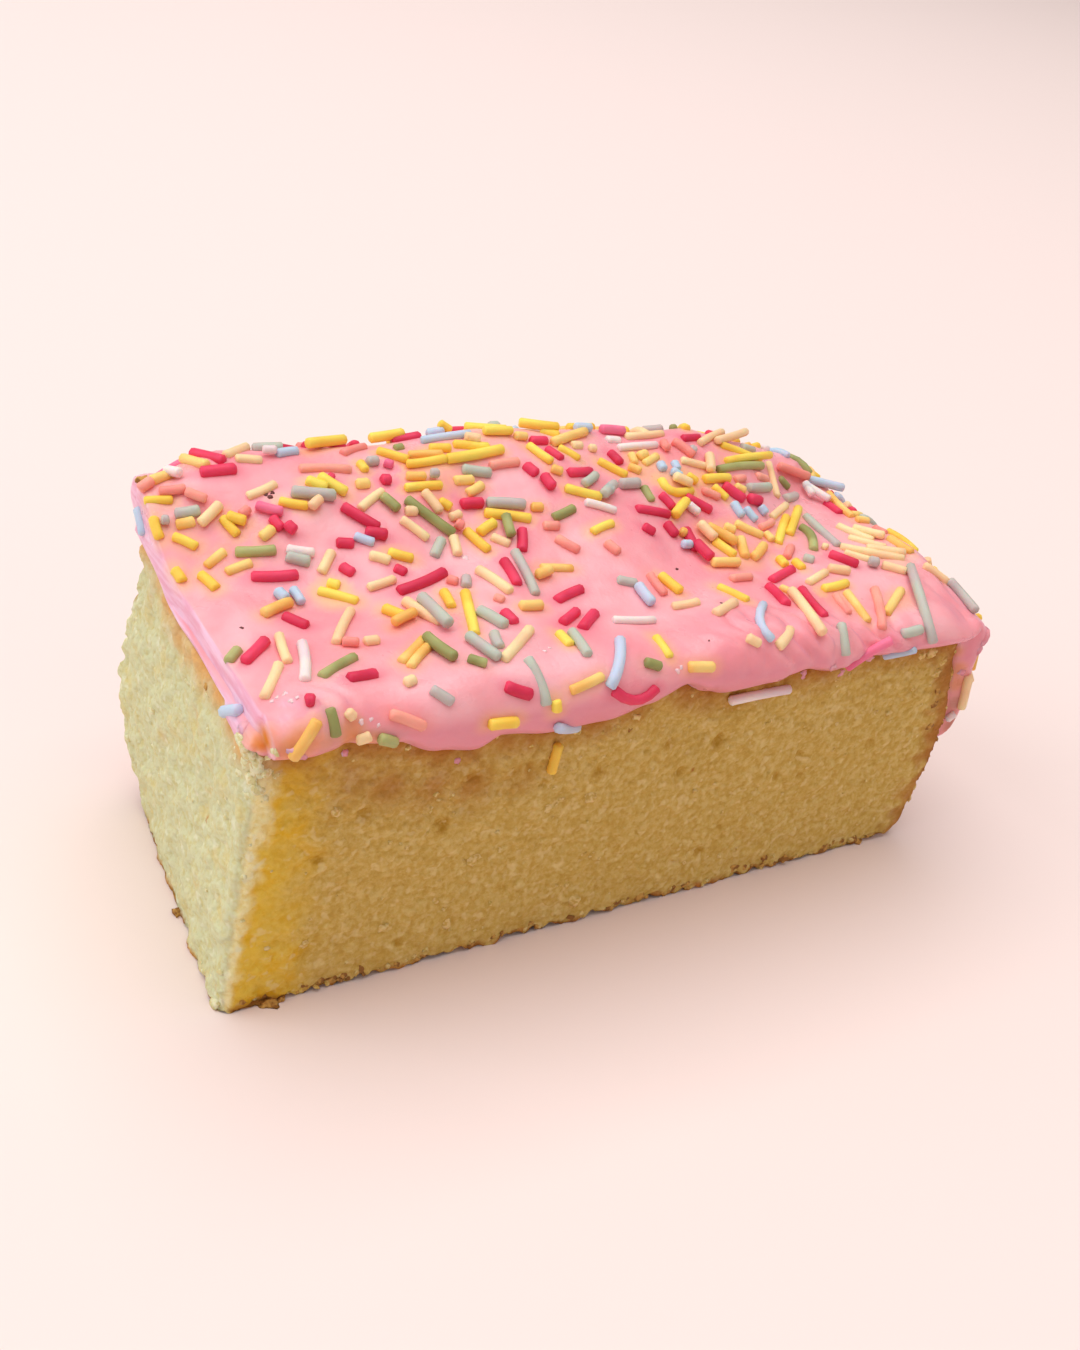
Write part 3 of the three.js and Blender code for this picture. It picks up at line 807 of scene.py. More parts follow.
# The crumb within a few millimetres of the icing has taken up its moisture and is darker, which
# is also painted shade under the icing; more so in a few stains: their pixel in the photo, radius
# in millimetres, and strength.
SOAK_AND_SHADE_REACH = 5.0 * MM
SOAK_FALL = 1.05
CRUMB_STAINS_AND_SHADE = [
    (190, 657, 1.5, 1.0), (206, 686, 1.3, 0.9), (177, 630, 1.0, 0.6), (162, 735, 1.2, 0.4),
    (197, 716, 1.0, 0.4), (263, 745, 1.4, 0.7), (150, 598, 1.2, 0.3),
    # These six, under the front lip, are painted shade of the lip as much as soak.
    (310, 772, 3.5, 0.45), (350, 778, 3.5, 0.55), (390, 784, 3.5, 0.65),
    (430, 788, 3.5, 0.65), (470, 786, 3.5, 0.55), (520, 778, 3.0, 0.40),
    (946, 656, 1.2, 0.7), (946, 676, 1.2, 0.6), (934, 732, 1.5, 0.5),
]


def set_attribute(mesh, name, kind, field, values):
    """Stores a value or a colour for each vertex of a mesh."""
    layer = mesh.attributes.new(name, kind, "POINT")
    layer.data.foreach_set(field, np.array(values, dtype=np.float32).ravel())


soaked_and_shaded = [clamped(1 - icing_tree.find_nearest(v.co)[3] / SOAK_AND_SHADE_REACH) for v in sponge_mesh.vertices]
soaked_and_shaded = np.array(soaked_and_shaded) ** SOAK_FALL
crumb_points = np.array([v.co for v in sponge_mesh.vertices])
for across, down, radius, strength in CRUMB_STAINS_AND_SHADE:
    hit = sponge_tree.ray_cast(CAMERA_PLACE, line_of_sight(across, down))[0]
    away = np.linalg.norm(crumb_points - np.array(hit), axis=1) / (radius * MM)
    soaked_and_shaded = np.maximum(soaked_and_shaded, strength * np.exp(-(away**2)))
set_attribute(sponge_mesh, "soaked_and_shaded", "FLOAT", "value", soaked_and_shaded)

ICING_PINK = colour(252, 166, 175)
ICING_DEEP = colour(248, 152, 164)
ICING_PALE = colour(255, 182, 190)
LIP_SHADE_PINK = colour(232, 142, 160)
CUT_EDGE_SHEEN_PINK = colour(232, 164, 190)
CUT_EDGE_SHEEN_WHITE = colour(246, 200, 224)
RIGHT_SHADE_PINK = colour(228, 138, 164)

icing_material, shader, tree = new_material(
    "pink_icing", 0.34, scattered=0.35, depth=0.0025, spread=(1, 0.45, 0.4)
)
where = own_place(tree)
blotches = range_node(tree, noise_node(tree, where, 12 * MM), 0.3, 0.7)
icing_colour = ramp_node(tree, blotches, (0.0, ICING_DEEP), (0.5, ICING_PINK), (1.0, ICING_PALE))
# The lip hangs thick; its sides and underside, facing away from the light, are painted deeper and
# a little purple as painted shade. The cut edge on the left, facing the light from the left, is
# painted a pale lavender streaked along the cut, as a painted highlight.
facing = add_node(tree, "NewGeometry", {})["Normal"]
facing = add_node(tree, "SeparateXYZ", {"Vector": facing})
shaded_lip = range_node(tree, facing["Z"], -0.1, 0.5, 0.85, 0)
icing_colour = mix_node(tree, shaded_lip, icing_colour, LIP_SHADE_PINK)
# Painted highlight on the left cut edge, which faces the light from the left:
stretched = add_node(tree, "Mapping", {"Vector": where, "Scale": (1, 0.12, 1)})["Vector"]
streaks = range_node(tree, noise_node(tree, stretched, 0.9 * MM), 0.35, 0.65)
edge_sheen = ramp_node(tree, streaks, (0.0, CUT_EDGE_SHEEN_PINK), (1.0, CUT_EDGE_SHEEN_WHITE))
lit_edge = range_node(tree, facing["X"], -0.45, -0.8, 0, 0.9)
icing_colour = mix_node(tree, lit_edge, icing_colour, edge_sheen)
# Sides that face right, away from the light, are painted a deeper lavender pink: painted shade.
shaded_right = range_node(tree, facing["X"], 0.15, 0.6, 0, 0.7)
icing_colour = mix_node(tree, shaded_right, icing_colour, RIGHT_SHADE_PINK)
# Colour that has run out of the strands, and stains.
bleed = attribute_node(tree, "bleed")
icing_colour = mix_node(tree, bleed["Alpha"], icing_colour, bleed["Color"])
feed(tree, icing_colour, shader["Base Color"])
gloss = range_node(tree, noise_node(tree, where, 5 * MM), 0.3, 0.7, 0.26, 0.44)
feed(tree, gloss, shader["Roughness"])
soft = bump_node(tree, noise_node(tree, where, 1.8 * MM), 0.20 * MM, 0.7)
feed(tree, soft, shader["Normal"])

icing = new_piece("icing_coat", icing_mesh, icing_material)
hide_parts("icing")


# ---------------------------------------------------------------------------------------------
# Sugar strands. Short round sticks of pressed sugar, about 1.3 mm thick, strewn on the icing
# while it was soft, so that each lies partly sunk in it. Those that the photo shows are placed
# by the pixels of their two ends, some with a third pixel between for a bend, and those on the
# far sides are strewn by a rule.

STRAND_RADIUS = 0.67 * MM
THICKER = {"crimson": 1.12, "grey": 1.08, "white": 0.92, "salmon": 0.95}  # share of that, by colour
STRAND_SPREAD = 0.10  # how much their radii differ, as a share
STRAND_SIDES = 8
STRAND_LIFT = 0.16 * MM  # of a strand's middle line above the icing
CRUMB_LIFT = 0.35 * MM  # how much higher one lies on the crumb, which it does not sink into
STRAND_STACK = 1.0 * MM  # how much higher one lies that crosses another
SEEN_LONGEST = 11 * MM
LEAST_SHOWN = 0.6 * MM  # how deep, along the line of sight, a strand may lie in the icing
MOST_LIFTED = 3 * MM
FARTHEST_OUT = 2.5 * MM  # how far from the slice an end may stand out
STRAND_BEND = 0.03  # of a straight one, as a share of its length
MID_SNAP = 0.3  # how closely its middle follows the icing
SEARCH_START = 0.15  # where, along a line of sight, the search for the nearest place starts
SEARCH_STEP = 0.0005
SEARCH_STEPS = 400
STEEPEST = 0.5  # cosine between a line of sight and the way out of the slice
CLOSE_BY = 9 * MM  # between the middles of two strands that may cross
END_ROUND = 0.3  # length of a strand's rounded end, in radii
END_NARROW = 0.68  # radius at its very end, as a share
FAR_COUNT = 150
FAR_SHORTEST = 3.0 * MM
FAR_LONGEST = 8.0 * MM
FAR_TRIES = 60
FAR_CROSSING = 0.3
FAR_FROM_LEFT = 4
FAR_DOWN_RIGHT = 8
FAR_DOWN_BACK = 3
FAR_FROM_LIP = 2.5
FAR_BEHIND = 1.2 * MM  # how far behind what the photo shows a place has to lie
strew = random.Random(2024)

SEEN_STRANDS = {
    "crimson": [
        (191, 453, 224, 461), (200, 473, 236, 469), (302, 443, 321, 435), (390, 435, 420, 435),
        (525, 465, 537, 475), (543, 476, 553, 489), (342, 506, 379, 528), (461, 504, 483, 503),
        (522, 529, 522, 551), (503, 560, 518, 585), (365, 533, 387, 536), (336, 543, 354, 544),
        (341, 566, 354, 574), (394, 568, 406, 574), (272, 517, 282, 529), (286, 525, 295, 533),
        (251, 577, 298, 575), (398, 592, 445, 572), (283, 616, 308, 627), (503, 612, 515, 624),
        (244, 662, 266, 640), (348, 679, 376, 674), (305, 701, 315, 701), (505, 686, 532, 695),
        (682, 439, 699, 438), (708, 429, 730, 434), (609, 452, 621, 464), (568, 473, 591, 472),
        (546, 449, 562, 460), (660, 494, 673, 508), (636, 509, 669, 515), (685, 497, 711, 511),
        (643, 526, 654, 533), (666, 523, 676, 536), (723, 485, 744, 500), (825, 503, 840, 514),
        (829, 554, 858, 565), (771, 581, 793, 569), (768, 586, 787, 605), (801, 589, 825, 617),
        (685, 529, 696, 550), (693, 547, 709, 563), (556, 601, 582, 589), (562, 623, 577, 611),
        (582, 629, 595, 613), (613, 691, 636, 700, 657, 688), (530, 441, 547, 441),
        (748, 499, 760, 502), (330, 442, 344, 442), (381, 480, 391, 480), (327, 477, 334, 480),
    ],
    "yellow": [
        (370, 441, 404, 438), (307, 450, 345, 446), (453, 445, 489, 448), (377, 451, 408, 460),
        (406, 466, 446, 460), (446, 461, 502, 451), (528, 445, 552, 462), (318, 478, 346, 495),
        (405, 488, 442, 485), (484, 513, 531, 519), (465, 530, 489, 551), (318, 591, 358, 602),
        (443, 591, 452, 607), (465, 592, 475, 635), (279, 501, 308, 506), (153, 517, 160, 539),
        (173, 536, 197, 547), (222, 517, 238, 535), (200, 574, 217, 589), (144, 501, 173, 500),
        (388, 552, 413, 559), (383, 608, 408, 618), (489, 725, 518, 722), (439, 423, 447, 413),
        (540, 431, 559, 436), (567, 428, 594, 425), (598, 461, 627, 476), (673, 517, 685, 502),
        (778, 544, 786, 517), (789, 535, 798, 509), (708, 530, 732, 542), (714, 541, 735, 556),
        (718, 587, 748, 601), (823, 589, 847, 583), (660, 575, 681, 592), (655, 637, 670, 658),
        (565, 488, 601, 497), (592, 532, 613, 523), (464, 427, 507, 430), (483, 433, 511, 433),
        (518, 428, 558, 433), (606, 423, 628, 428), (558, 448, 579, 460), (558, 633, 571, 646),
        (479, 533, 495, 522), (660, 480, 672, 492, 692, 491), (687, 475, 697, 482),
        (703, 480, 729, 479), (713, 486, 727, 499), (778, 558, 786, 566), (794, 561, 803, 569),
        (359, 462, 366, 471), (306, 481, 327, 489), (227, 517, 246, 523), (174, 569, 183, 582),
        (327, 583, 340, 586), (556, 700, 557, 712), (551, 773, 559, 744), (720, 445, 760, 461),
        (726, 461, 771, 455), (429, 449, 451, 449), (439, 501, 451, 508),
    ],
    "golden": [
        (263, 614, 291, 602), (401, 662, 424, 639), (410, 668, 431, 645), (292, 759, 318, 720),
        (828, 493, 852, 517), (735, 523, 762, 536), (711, 565, 738, 565), (846, 592, 868, 622),
        (886, 614, 901, 590), (889, 538, 912, 553), (570, 691, 603, 676), (688, 667, 714, 667),
        (540, 568, 573, 569), (206, 567, 225, 551), (226, 573, 252, 563), (552, 444, 585, 433),
        (628, 467, 641, 472), (631, 454, 635, 464), (644, 464, 657, 456), (735, 486, 745, 491),
        (724, 526, 735, 531), (764, 534, 772, 542), (705, 529, 735, 545), (740, 539, 745, 558),
        (753, 558, 764, 545), (536, 577, 550, 571), (520, 606, 542, 605), (531, 507, 543, 507),
        (780, 588, 790, 592), (183, 460, 208, 467), (151, 481, 171, 474), (176, 525, 195, 521),
        (261, 539, 273, 529), (356, 484, 369, 483), (393, 628, 415, 617), (408, 456, 443, 455),
        (454, 481, 473, 480), (467, 494, 482, 485), (406, 476, 426, 476), (551, 469, 562, 473),
        (514, 438, 526, 439), (638, 458, 646, 455), (856, 520, 868, 522), (678, 533, 684, 536),
    ],
    "cream": [
        (247, 497, 276, 484), (360, 509, 383, 491), (423, 492, 440, 513), (401, 519, 428, 539),
        (477, 569, 511, 592), (453, 536, 458, 555), (321, 573, 332, 551), (368, 588, 395, 579),
        (404, 601, 442, 623), (503, 660, 530, 629), (336, 643, 351, 610), (279, 635, 288, 662),
        (264, 698, 279, 664), (200, 525, 220, 505), (625, 437, 663, 434), (699, 445, 721, 434),
        (715, 445, 744, 436), (768, 463, 777, 497), (771, 518, 786, 505), (837, 526, 873, 541),
        (840, 547, 904, 559), (790, 592, 822, 635), (715, 614, 735, 602), (778, 647, 790, 629),
        (747, 637, 760, 644), (672, 607, 699, 602), (882, 565, 907, 572), (808, 583, 826, 572),
        (828, 569, 849, 572), (924, 565, 948, 583), (672, 478, 689, 486), (681, 460, 708, 467),
        (697, 526, 713, 542), (491, 537, 510, 545), (225, 456, 247, 447), (235, 459, 262, 461),
        (310, 510, 320, 501), (405, 511, 417, 511), (369, 556, 390, 562), (405, 683, 415, 679),
        (347, 711, 354, 718), (356, 740, 371, 735), (364, 642, 379, 640), (464, 439, 480, 442),
        (450, 518, 460, 514), (571, 446, 582, 446), (588, 449, 595, 450), (706, 457, 708, 474),
        (822, 546, 828, 548), (969, 676, 961, 708), (848, 538, 886, 548), (866, 549, 905, 554),
        (844, 553, 872, 561), (852, 530, 884, 538),
    ],
    "green": [
        (382, 497, 398, 511), (405, 501, 453, 536), (505, 517, 511, 538), (235, 552, 276, 550),
        (228, 662, 239, 649), (321, 677, 355, 657), (425, 640, 455, 662), (468, 658, 487, 664),
        (329, 708, 336, 737), (379, 738, 396, 742), (553, 518, 574, 508), (717, 470, 762, 466),
        (801, 527, 811, 536, 814, 550), (669, 418, 676, 424), (645, 662, 661, 667),
        (643, 487, 652, 502), (779, 478, 788, 488), (394, 449, 403, 447),
    ],
    "grey": [
        (462, 469, 491, 473), (291, 493, 335, 497), (175, 514, 200, 510), (486, 504, 525, 506),
        (434, 557, 442, 539), (514, 551, 536, 595), (420, 602, 449, 630), (478, 610, 506, 626),
        (467, 637, 499, 660), (431, 689, 453, 703), (527, 658, 547, 706), (583, 485, 595, 476),
        (619, 485, 639, 484), (601, 499, 612, 488), (748, 488, 769, 487), (805, 517, 838, 547),
        (571, 632, 588, 656), (617, 580, 637, 584), (841, 623, 846, 656), (901, 634, 922, 629),
        (910, 566, 922, 604, 933, 643), (946, 583, 960, 597, 973, 614), (602, 492, 611, 496),
        (689, 448, 696, 452), (741, 447, 753, 451), (785, 499, 795, 496), (803, 558, 814, 561),
        (642, 428, 662, 427), (494, 633, 500, 648), (252, 450, 283, 449), (367, 462, 378, 461),
        (161, 521, 169, 521), (286, 556, 310, 562), (429, 476, 438, 476), (489, 427, 499, 426),
        (466, 578, 466, 588), (868, 563, 878, 565),
    ],
    "blue": [
        (421, 441, 471, 434), (276, 593, 286, 602), (292, 589, 302, 604), (138, 508, 144, 535),
        (223, 712, 239, 710), (574, 430, 591, 431), (733, 503, 742, 517), (745, 508, 756, 521),
        (807, 479, 844, 488), (637, 586, 652, 605), (619, 640, 618, 665, 609, 689),
        (763, 604, 760, 622, 772, 640), (558, 728, 577, 727), (883, 656, 916, 649),
        (660, 463, 664, 470), (674, 462, 678, 470), (670, 472, 680, 478), (759, 507, 765, 515),
        (681, 546, 690, 546), (276, 454, 298, 451), (354, 537, 374, 544), (426, 430, 443, 430),
    ],
    "white": [
        (286, 550, 314, 554), (302, 643, 305, 680), (618, 448, 657, 445), (585, 502, 616, 511),
        (802, 487, 828, 503), (730, 701, 790, 689), (686, 506, 697, 515), (606, 440, 620, 441),
        (802, 486, 810, 499), (262, 455, 276, 455), (166, 476, 181, 479), (613, 620, 655, 620),
        (946, 720, 955, 713),
    ],
    "salmon": [
        (299, 469, 351, 470), (342, 454, 365, 447), (490, 466, 519, 462), (390, 714, 425, 727),
        (777, 467, 807, 478), (556, 538, 579, 551), (606, 542, 619, 553), (543, 526, 559, 526),
        (835, 595, 849, 614), (874, 589, 882, 629), (672, 442, 693, 457), (731, 579, 751, 577),
        (756, 476, 767, 480), (702, 491, 719, 498), (786, 558, 791, 547), (494, 597, 504, 601),
        (662, 443, 668, 451), (649, 574, 665, 595), (141, 493, 154, 484), (159, 492, 186, 489),
        (186, 493, 207, 501), (240, 517, 249, 510), (342, 644, 359, 645), (447, 580, 458, 583),
        (454, 525, 462, 529), (734, 480, 744, 479), (760, 528, 772, 522), (874, 528, 886, 534),
    ],
    "rose": [
        (600, 431, 624, 433), (846, 668, 892, 640), (256, 506, 283, 513), (384, 464, 393, 467),
    ],
}
# Two shades of each colour, between which its strands differ.
STRAND_SHADES = {
    "crimson": (colour(234, 62, 100), colour(214, 44, 82)),
    "yellow": (colour(255, 224, 96), colour(253, 206, 78)),
    "golden": (colour(254, 214, 130), colour(247, 188, 98)),
    "cream": (colour(254, 224, 172), colour(250, 208, 162)),
    "green": (colour(178, 180, 118), colour(150, 152, 92)),
    "grey": (colour(190, 196, 182), colour(194, 184, 180)),
    "blue": (colour(188, 210, 230), colour(198, 210, 232)),
    "white": (colour(246, 230, 226), colour(236, 216, 220)),
    "salmon": (colour(254, 168, 150), colour(248, 148, 138)),
    "rose": (colour(246, 124, 158), colour(238, 110, 148)),
}

# One stick, 2 long and 2 across, with a rounded end past each 1 and -1.
stick_form = bmesh.new()
bmesh.ops.create_cone(
    stick_form, cap_ends=True, segments=STRAND_SIDES, radius1=1, radius2=1, depth=2
)
long_edges = [e for e in stick_form.edges if abs(e.verts[0].co.z - e.verts[1].co.z) > 1]
bmesh.ops.subdivide_edges(stick_form, edges=long_edges, cuts=4)
for end in (-1, 1):
    cap = [f for f in stick_form.faces if f.normal.z * end > 0.9]
    tip = bmesh.ops.extrude_face_region(stick_form, geom=cap)
    bmesh.ops.delete(stick_form, geom=cap, context="FACES_ONLY")
    tip_verts = [v for v in tip["geom"] if isinstance(v, bmesh.types.BMVert)]
    bmesh.ops.scale(stick_form, verts=tip_verts, vec=(END_NARROW, END_NARROW, 1))
    bmesh.ops.translate(stick_form, verts=tip_verts, vec=(0, 0, end * END_ROUND))
stick_size = len(stick_form.verts)


def mesh_of(form, name):
    """The mesh of a finished form, which ends."""
    mesh = bpy.data.meshes.new(name)
    form.to_mesh(mesh)
    form.free()
    return mesh


stick_mesh = mesh_of(stick_form, "stick")
put_in_order(stick_mesh)


def lie_on_slice(across, down, lift, crumb_lift):
    """Where a pixel's line of sight meets the icing or the crumb, lifted off it, the way up
    there, whether it is the crumb, and, of a line that passes close by, its nearest place."""
    sight = line_of_sight(across, down)
    on_icing = icing_tree.ray_cast(CAMERA_PLACE, sight)
    on_crumb = sponge_tree.ray_cast(CAMERA_PLACE, sight)
    if on_icing[0] is None and on_crumb[0] is None:
        along = [SEARCH_START + SEARCH_STEP * k for k in range(SEARCH_STEPS)]
        steps = [CAMERA_PLACE + sight * far for far in along]
        near = [(*icing_tree.find_nearest(step), step) for step in steps]
        near += [(*sponge_tree.find_nearest(step), step) for step in steps]
        place, normal, _, away, step = min(near, key=lambda found: found[3])
        return place + normal * lift, normal, False, step if away < FARTHEST_OUT else None
    bare = on_icing[0] is None or on_crumb[0] is not None and on_crumb[3] < on_icing[3]
    hit, normal, _, _ = on_crumb if bare else on_icing
    slope = max(abs(sight.dot(normal)), STEEPEST)
    return hit - sight * ((crumb_lift if bare else lift) / slope), normal, bare, None


def within_reach(near, far):
    """The far end of a strand, brought towards the camera until the strand isn't too long."""
    sight = (far - CAMERA_PLACE).normalized()
    closest = far + sight * (near - far).dot(sight)
    along = math.sqrt(max(SEEN_LONGEST**2 - (closest - near).length_squared, 0))
    return closest + sight * min(along, (far - closest).length)


def buried(start, middle, end):
    """How deep in the icing, along the line of sight, the deepest part of a strand lies."""
    deepest = 0
    for point in (start.lerp(middle, 0.5), middle, middle.lerp(end, 0.5)):
        sight = point - CAMERA_PLACE
        hit, _, _, reach = icing_tree.ray_cast(CAMERA_PLACE, sight.normalized())
        if hit is not None:
            deepest = max(deepest, sight.length - reach)
    return deepest


def snapped(point, lift):
    """The nearest place on the icing, lifted off it, and the way up there."""
    place, normal, _, _ = icing_tree.find_nearest(point)
    return place + normal * lift, normal


placed_strands = []


def crossing(start, end):
    """How near the nearest strand already placed comes, 1 where it touches, 0 where clear."""
    middle = (start + end) / 2
    nearest = 1.0
    for other_start, other_end, _ in placed_strands:
        if ((other_start + other_end) / 2 - middle).length > CLOSE_BY:
            continue
        for share in (0.1, 0.3, 0.5, 0.7, 0.9):
            point = start.lerp(end, share)
            way = other_end - other_start
            at = min(max((point - other_start).dot(way) / way.length_squared, 0), 1)
            gap = (other_start + way * at - point).length / (2 * STRAND_RADIUS)
            nearest = min(nearest, gap)
    return 1 - nearest


def lay_strand(form, start, middle, end, up, radius):
    """Adds a stick bent through three points to a form."""
    form.from_mesh(stick_mesh)
    form.verts.ensure_lookup_table()
    for vert in form.verts[-stick_size:]:
        at = min(max(vert.co.z, -1), 1)
        past = (vert.co.z - at) * radius
        place = start * (at * (at - 1) / 2) + middle * (1 - at * at) + end * (at * (at + 1) / 2)
        way = start * (at - 0.5) - middle * (2 * at) + end * (at + 0.5)
        way.normalize()
        side = way.cross(up).normalized()
        over = side.cross(way)
        vert.co = place + way * past + (side * vert.co.x + over * vert.co.y) * radius


def add_seen_strand(name, form, pixels):
    """Adds a strand by the pixels of its two ends, or of its ends and its middle."""
    radius = STRAND_RADIUS * strew.uniform(1 - STRAND_SPREAD, 1 + STRAND_SPREAD)
    radius *= THICKER.get(name, 1)
    lift = STRAND_LIFT * strew.uniform(-0.2, 2.0)
    start, up_start, start_bare, start_out = lie_on_slice(*pixels[:2], lift, lift + CRUMB_LIFT)
    end, up_end, end_bare, end_out = lie_on_slice(*pixels[-2:], lift, lift + CRUMB_LIFT)
    # One end may stand out from the slice, where the other end is held.
    standing = (start_out is None) != (end_out is None)
    if standing:
        start = start_out or start
        end = end_out or end
    if len(pixels) == 4 and (end - start).length > SEEN_LONGEST:
        if (end - CAMERA_PLACE).length > (start - CAMERA_PLACE).length:
            end = within_reach(start, end)
        else:
            start = within_reach(end, start)
    up = (up_start + up_end).normalized()
    raise_by = STRAND_STACK * crossing(start, end)
    middle = (start + end) / 2
    if len(pixels) == 6:
        middle = lie_on_slice(*pixels[2:4], lift, lift + CRUMB_LIFT)[0]
    else:
        if not (start_bare or end_bare or standing):
            middle = middle.lerp(snapped(middle, lift)[0], MID_SNAP)
        middle += (end - start).cross(up) * strew.uniform(-STRAND_BEND, STRAND_BEND)
    way = (end - start).normalized() * radius * END_ROUND
    points = [start + way, middle, end - way]
    placed_strands.append((start, end, name))
    forward = min(max(buried(*points) - LEAST_SHOWN, 0), MOST_LIFTED)
    shift = up * raise_by + (CAMERA_PLACE - middle).normalized() * forward
    start, middle, end = [point + shift for point in points]
    lay_strand(form, start, middle, end, up, radius)


def hidden_place():
    """A place on the icing that the photo doesn't show, or None, with the way up there."""
    X = np.array([strew.uniform(RIM_LEFT + FAR_FROM_LEFT, RIM_RIGHT + FOLD_LENGTH + FAR_DOWN_RIGHT)])
    Y = np.array([strew.uniform(RIM_FRONT, RIM_BACK + FOLD_LENGTH + FAR_DOWN_BACK)])
    if to_lip(X, Y)[0] < FAR_FROM_LIP:
        return None
    point = Vector(skin(X, Y, icing_top(X, Y))[0])
    sight = (point - CAMERA_PLACE).normalized()
    hit, _, _, reach = icing_tree.ray_cast(CAMERA_PLACE, sight)
    if hit is None or reach > (point - CAMERA_PLACE).length - FAR_BEHIND:
        return None
    return icing_tree.find_nearest(point)[:2]


def add_far_strand(name, form):
    """Adds a strand at a random place that the photo doesn't show, clear of the others."""
    for _ in range(FAR_TRIES):
        found = hidden_place()
        if found is None:
            continue
        place, up = found
        length = strew.uniform(FAR_SHORTEST, FAR_LONGEST)
        way = up.orthogonal().normalized()
        way.rotate(Matrix.Rotation(strew.uniform(0, math.pi), 3, up))
        start, _ = snapped(place - way * length / 2, STRAND_LIFT)
        end, _ = snapped(place + way * length / 2, STRAND_LIFT)
        if crossing(start, end) > FAR_CROSSING:
            continue
        placed_strands.append((start, end, name))
        middle, _ = snapped(place, STRAND_LIFT)
        lay_strand(form, start, middle, end, up, STRAND_RADIUS)
        return


strand_forms = {}
for name, seen in SEEN_STRANDS.items():
    strand_forms[name] = bmesh.new()
    for pixels in seen:
        add_seen_strand(name, strand_forms[name], pixels)
# The far ones are dealt out in the share that each colour has of those that are seen.
kinds = [name for name, seen in SEEN_STRANDS.items() for _ in seen]
for _ in range(FAR_COUNT):
    name = strew.choice(kinds)
    add_far_strand(name, strand_forms[name])

# How strongly each colour runs into the icing beside its strands.
BLEED = {"yellow": 0.4, "golden": 0.4, "crimson": 0.35, "salmon": 0.35, "green": 0.15, "rose": 0.4}
STAINS = {
    "yellow": colour(254, 196, 112), "golden": colour(252, 180, 128),
    "crimson": colour(238, 96, 130), "salmon": colour(252, 150, 140),
    "green": colour(214, 176, 132), "rose": colour(246, 126, 160),
}
BLEED_START = 0.6 * MM  # from a strand's middle line
BLEED_REACH = 1.7 * MM
BLEED_FALL = 1.5
# Stains where crumb or colour has soaked into it: pixel, radius in millimetres, strength, colour.
STAIN_ORANGE = colour(220, 124, 4)
STAIN_PEACH = colour(246, 156, 108)
STAIN_YELLOW = colour(255, 206, 128)
STAIN_BROWN = colour(150, 74, 50)
ICING_STAINS = [
    (266, 738, 1.7, 1.0, STAIN_ORANGE), (258, 744, 0.9, 0.8, STAIN_ORANGE),
    (352, 729, 1.7, 0.8, STAIN_PEACH), (372, 740, 1.3, 0.7, STAIN_PEACH),
    (303, 742, 1.6, 0.7, STAIN_PEACH), (325, 742, 1.2, 0.5, STAIN_PEACH),
    (300, 750, 3.2, 0.35, STAIN_ORANGE), (345, 742, 2.5, 0.3, STAIN_ORANGE),
    (288, 749, 1.3, 0.6, STAIN_ORANGE), (349, 740, 1.1, 0.4, STAIN_ORANGE),
    (244, 744, 1.8, 0.6, STAIN_PEACH), (956, 684, 1.8, 0.7, STAIN_ORANGE),
    (956, 703, 1.8, 0.7, STAIN_BROWN), (953, 724, 2.0, 0.8, STAIN_BROWN),
    (716, 536, 3.5, 0.35, STAIN_YELLOW), (747, 560, 3.0, 0.3, STAIN_YELLOW),
    (694, 480, 4.0, 0.35, STAIN_YELLOW), (650, 470, 4.0, 0.35, STAIN_YELLOW),
    (334, 597, 2.5, 0.45, STAIN_YELLOW), (430, 462, 4.0, 0.3, STAIN_YELLOW),
    (834, 600, 3.5, 0.4, STAIN_PEACH), (890, 560, 3.5, 0.4, STAIN_YELLOW),
    (900, 600, 2.5, 0.4, STAIN_PEACH), (640, 454, 3.0, 0.3, STAIN_YELLOW),
    (954, 655, 1.6, 0.8, STAIN_ORANGE), (957, 669, 1.6, 0.7, STAIN_ORANGE),
    (940, 648, 1.0, 0.6, STAIN_ORANGE), (668, 716, 1.0, 0.4, STAIN_PEACH),
]
bleeding = [strand for strand in placed_strands if strand[2] in BLEED]
nearby = KDTree(5 * len(bleeding))
for k, (start, end, _) in enumerate(bleeding):
    for share in (0, 0.25, 0.5, 0.75, 1):
        nearby.insert(start.lerp(end, share), k)
nearby.balance()
stains = []
for vert in icing_mesh.vertices:
    _, k, away = nearby.find(vert.co)
    name = bleeding[k][2]
    share = BLEED[name] * clamped(1 - (away - BLEED_START) / BLEED_REACH) ** BLEED_FALL
    stains.append(STAINS[name][:3] + [share])
stains = np.array(stains)
icing_points = np.array([v.co for v in icing_mesh.vertices])
for across, down, radius, strength, shade in ICING_STAINS:
    middle = np.array(lie_on_slice(across, down, 0, 0)[0])
    away = np.linalg.norm(icing_points - middle, axis=1) / (radius * MM)
    here = strength * np.exp(-(away**4))
    stains[:, :3] = mix(stains[:, :3], np.array(shade[:3]), here[:, None])
    stains[:, 3] = 1 - (1 - stains[:, 3]) * (1 - here)
set_attribute(icing_mesh, "bleed", "FLOAT_COLOR", "color", stains)

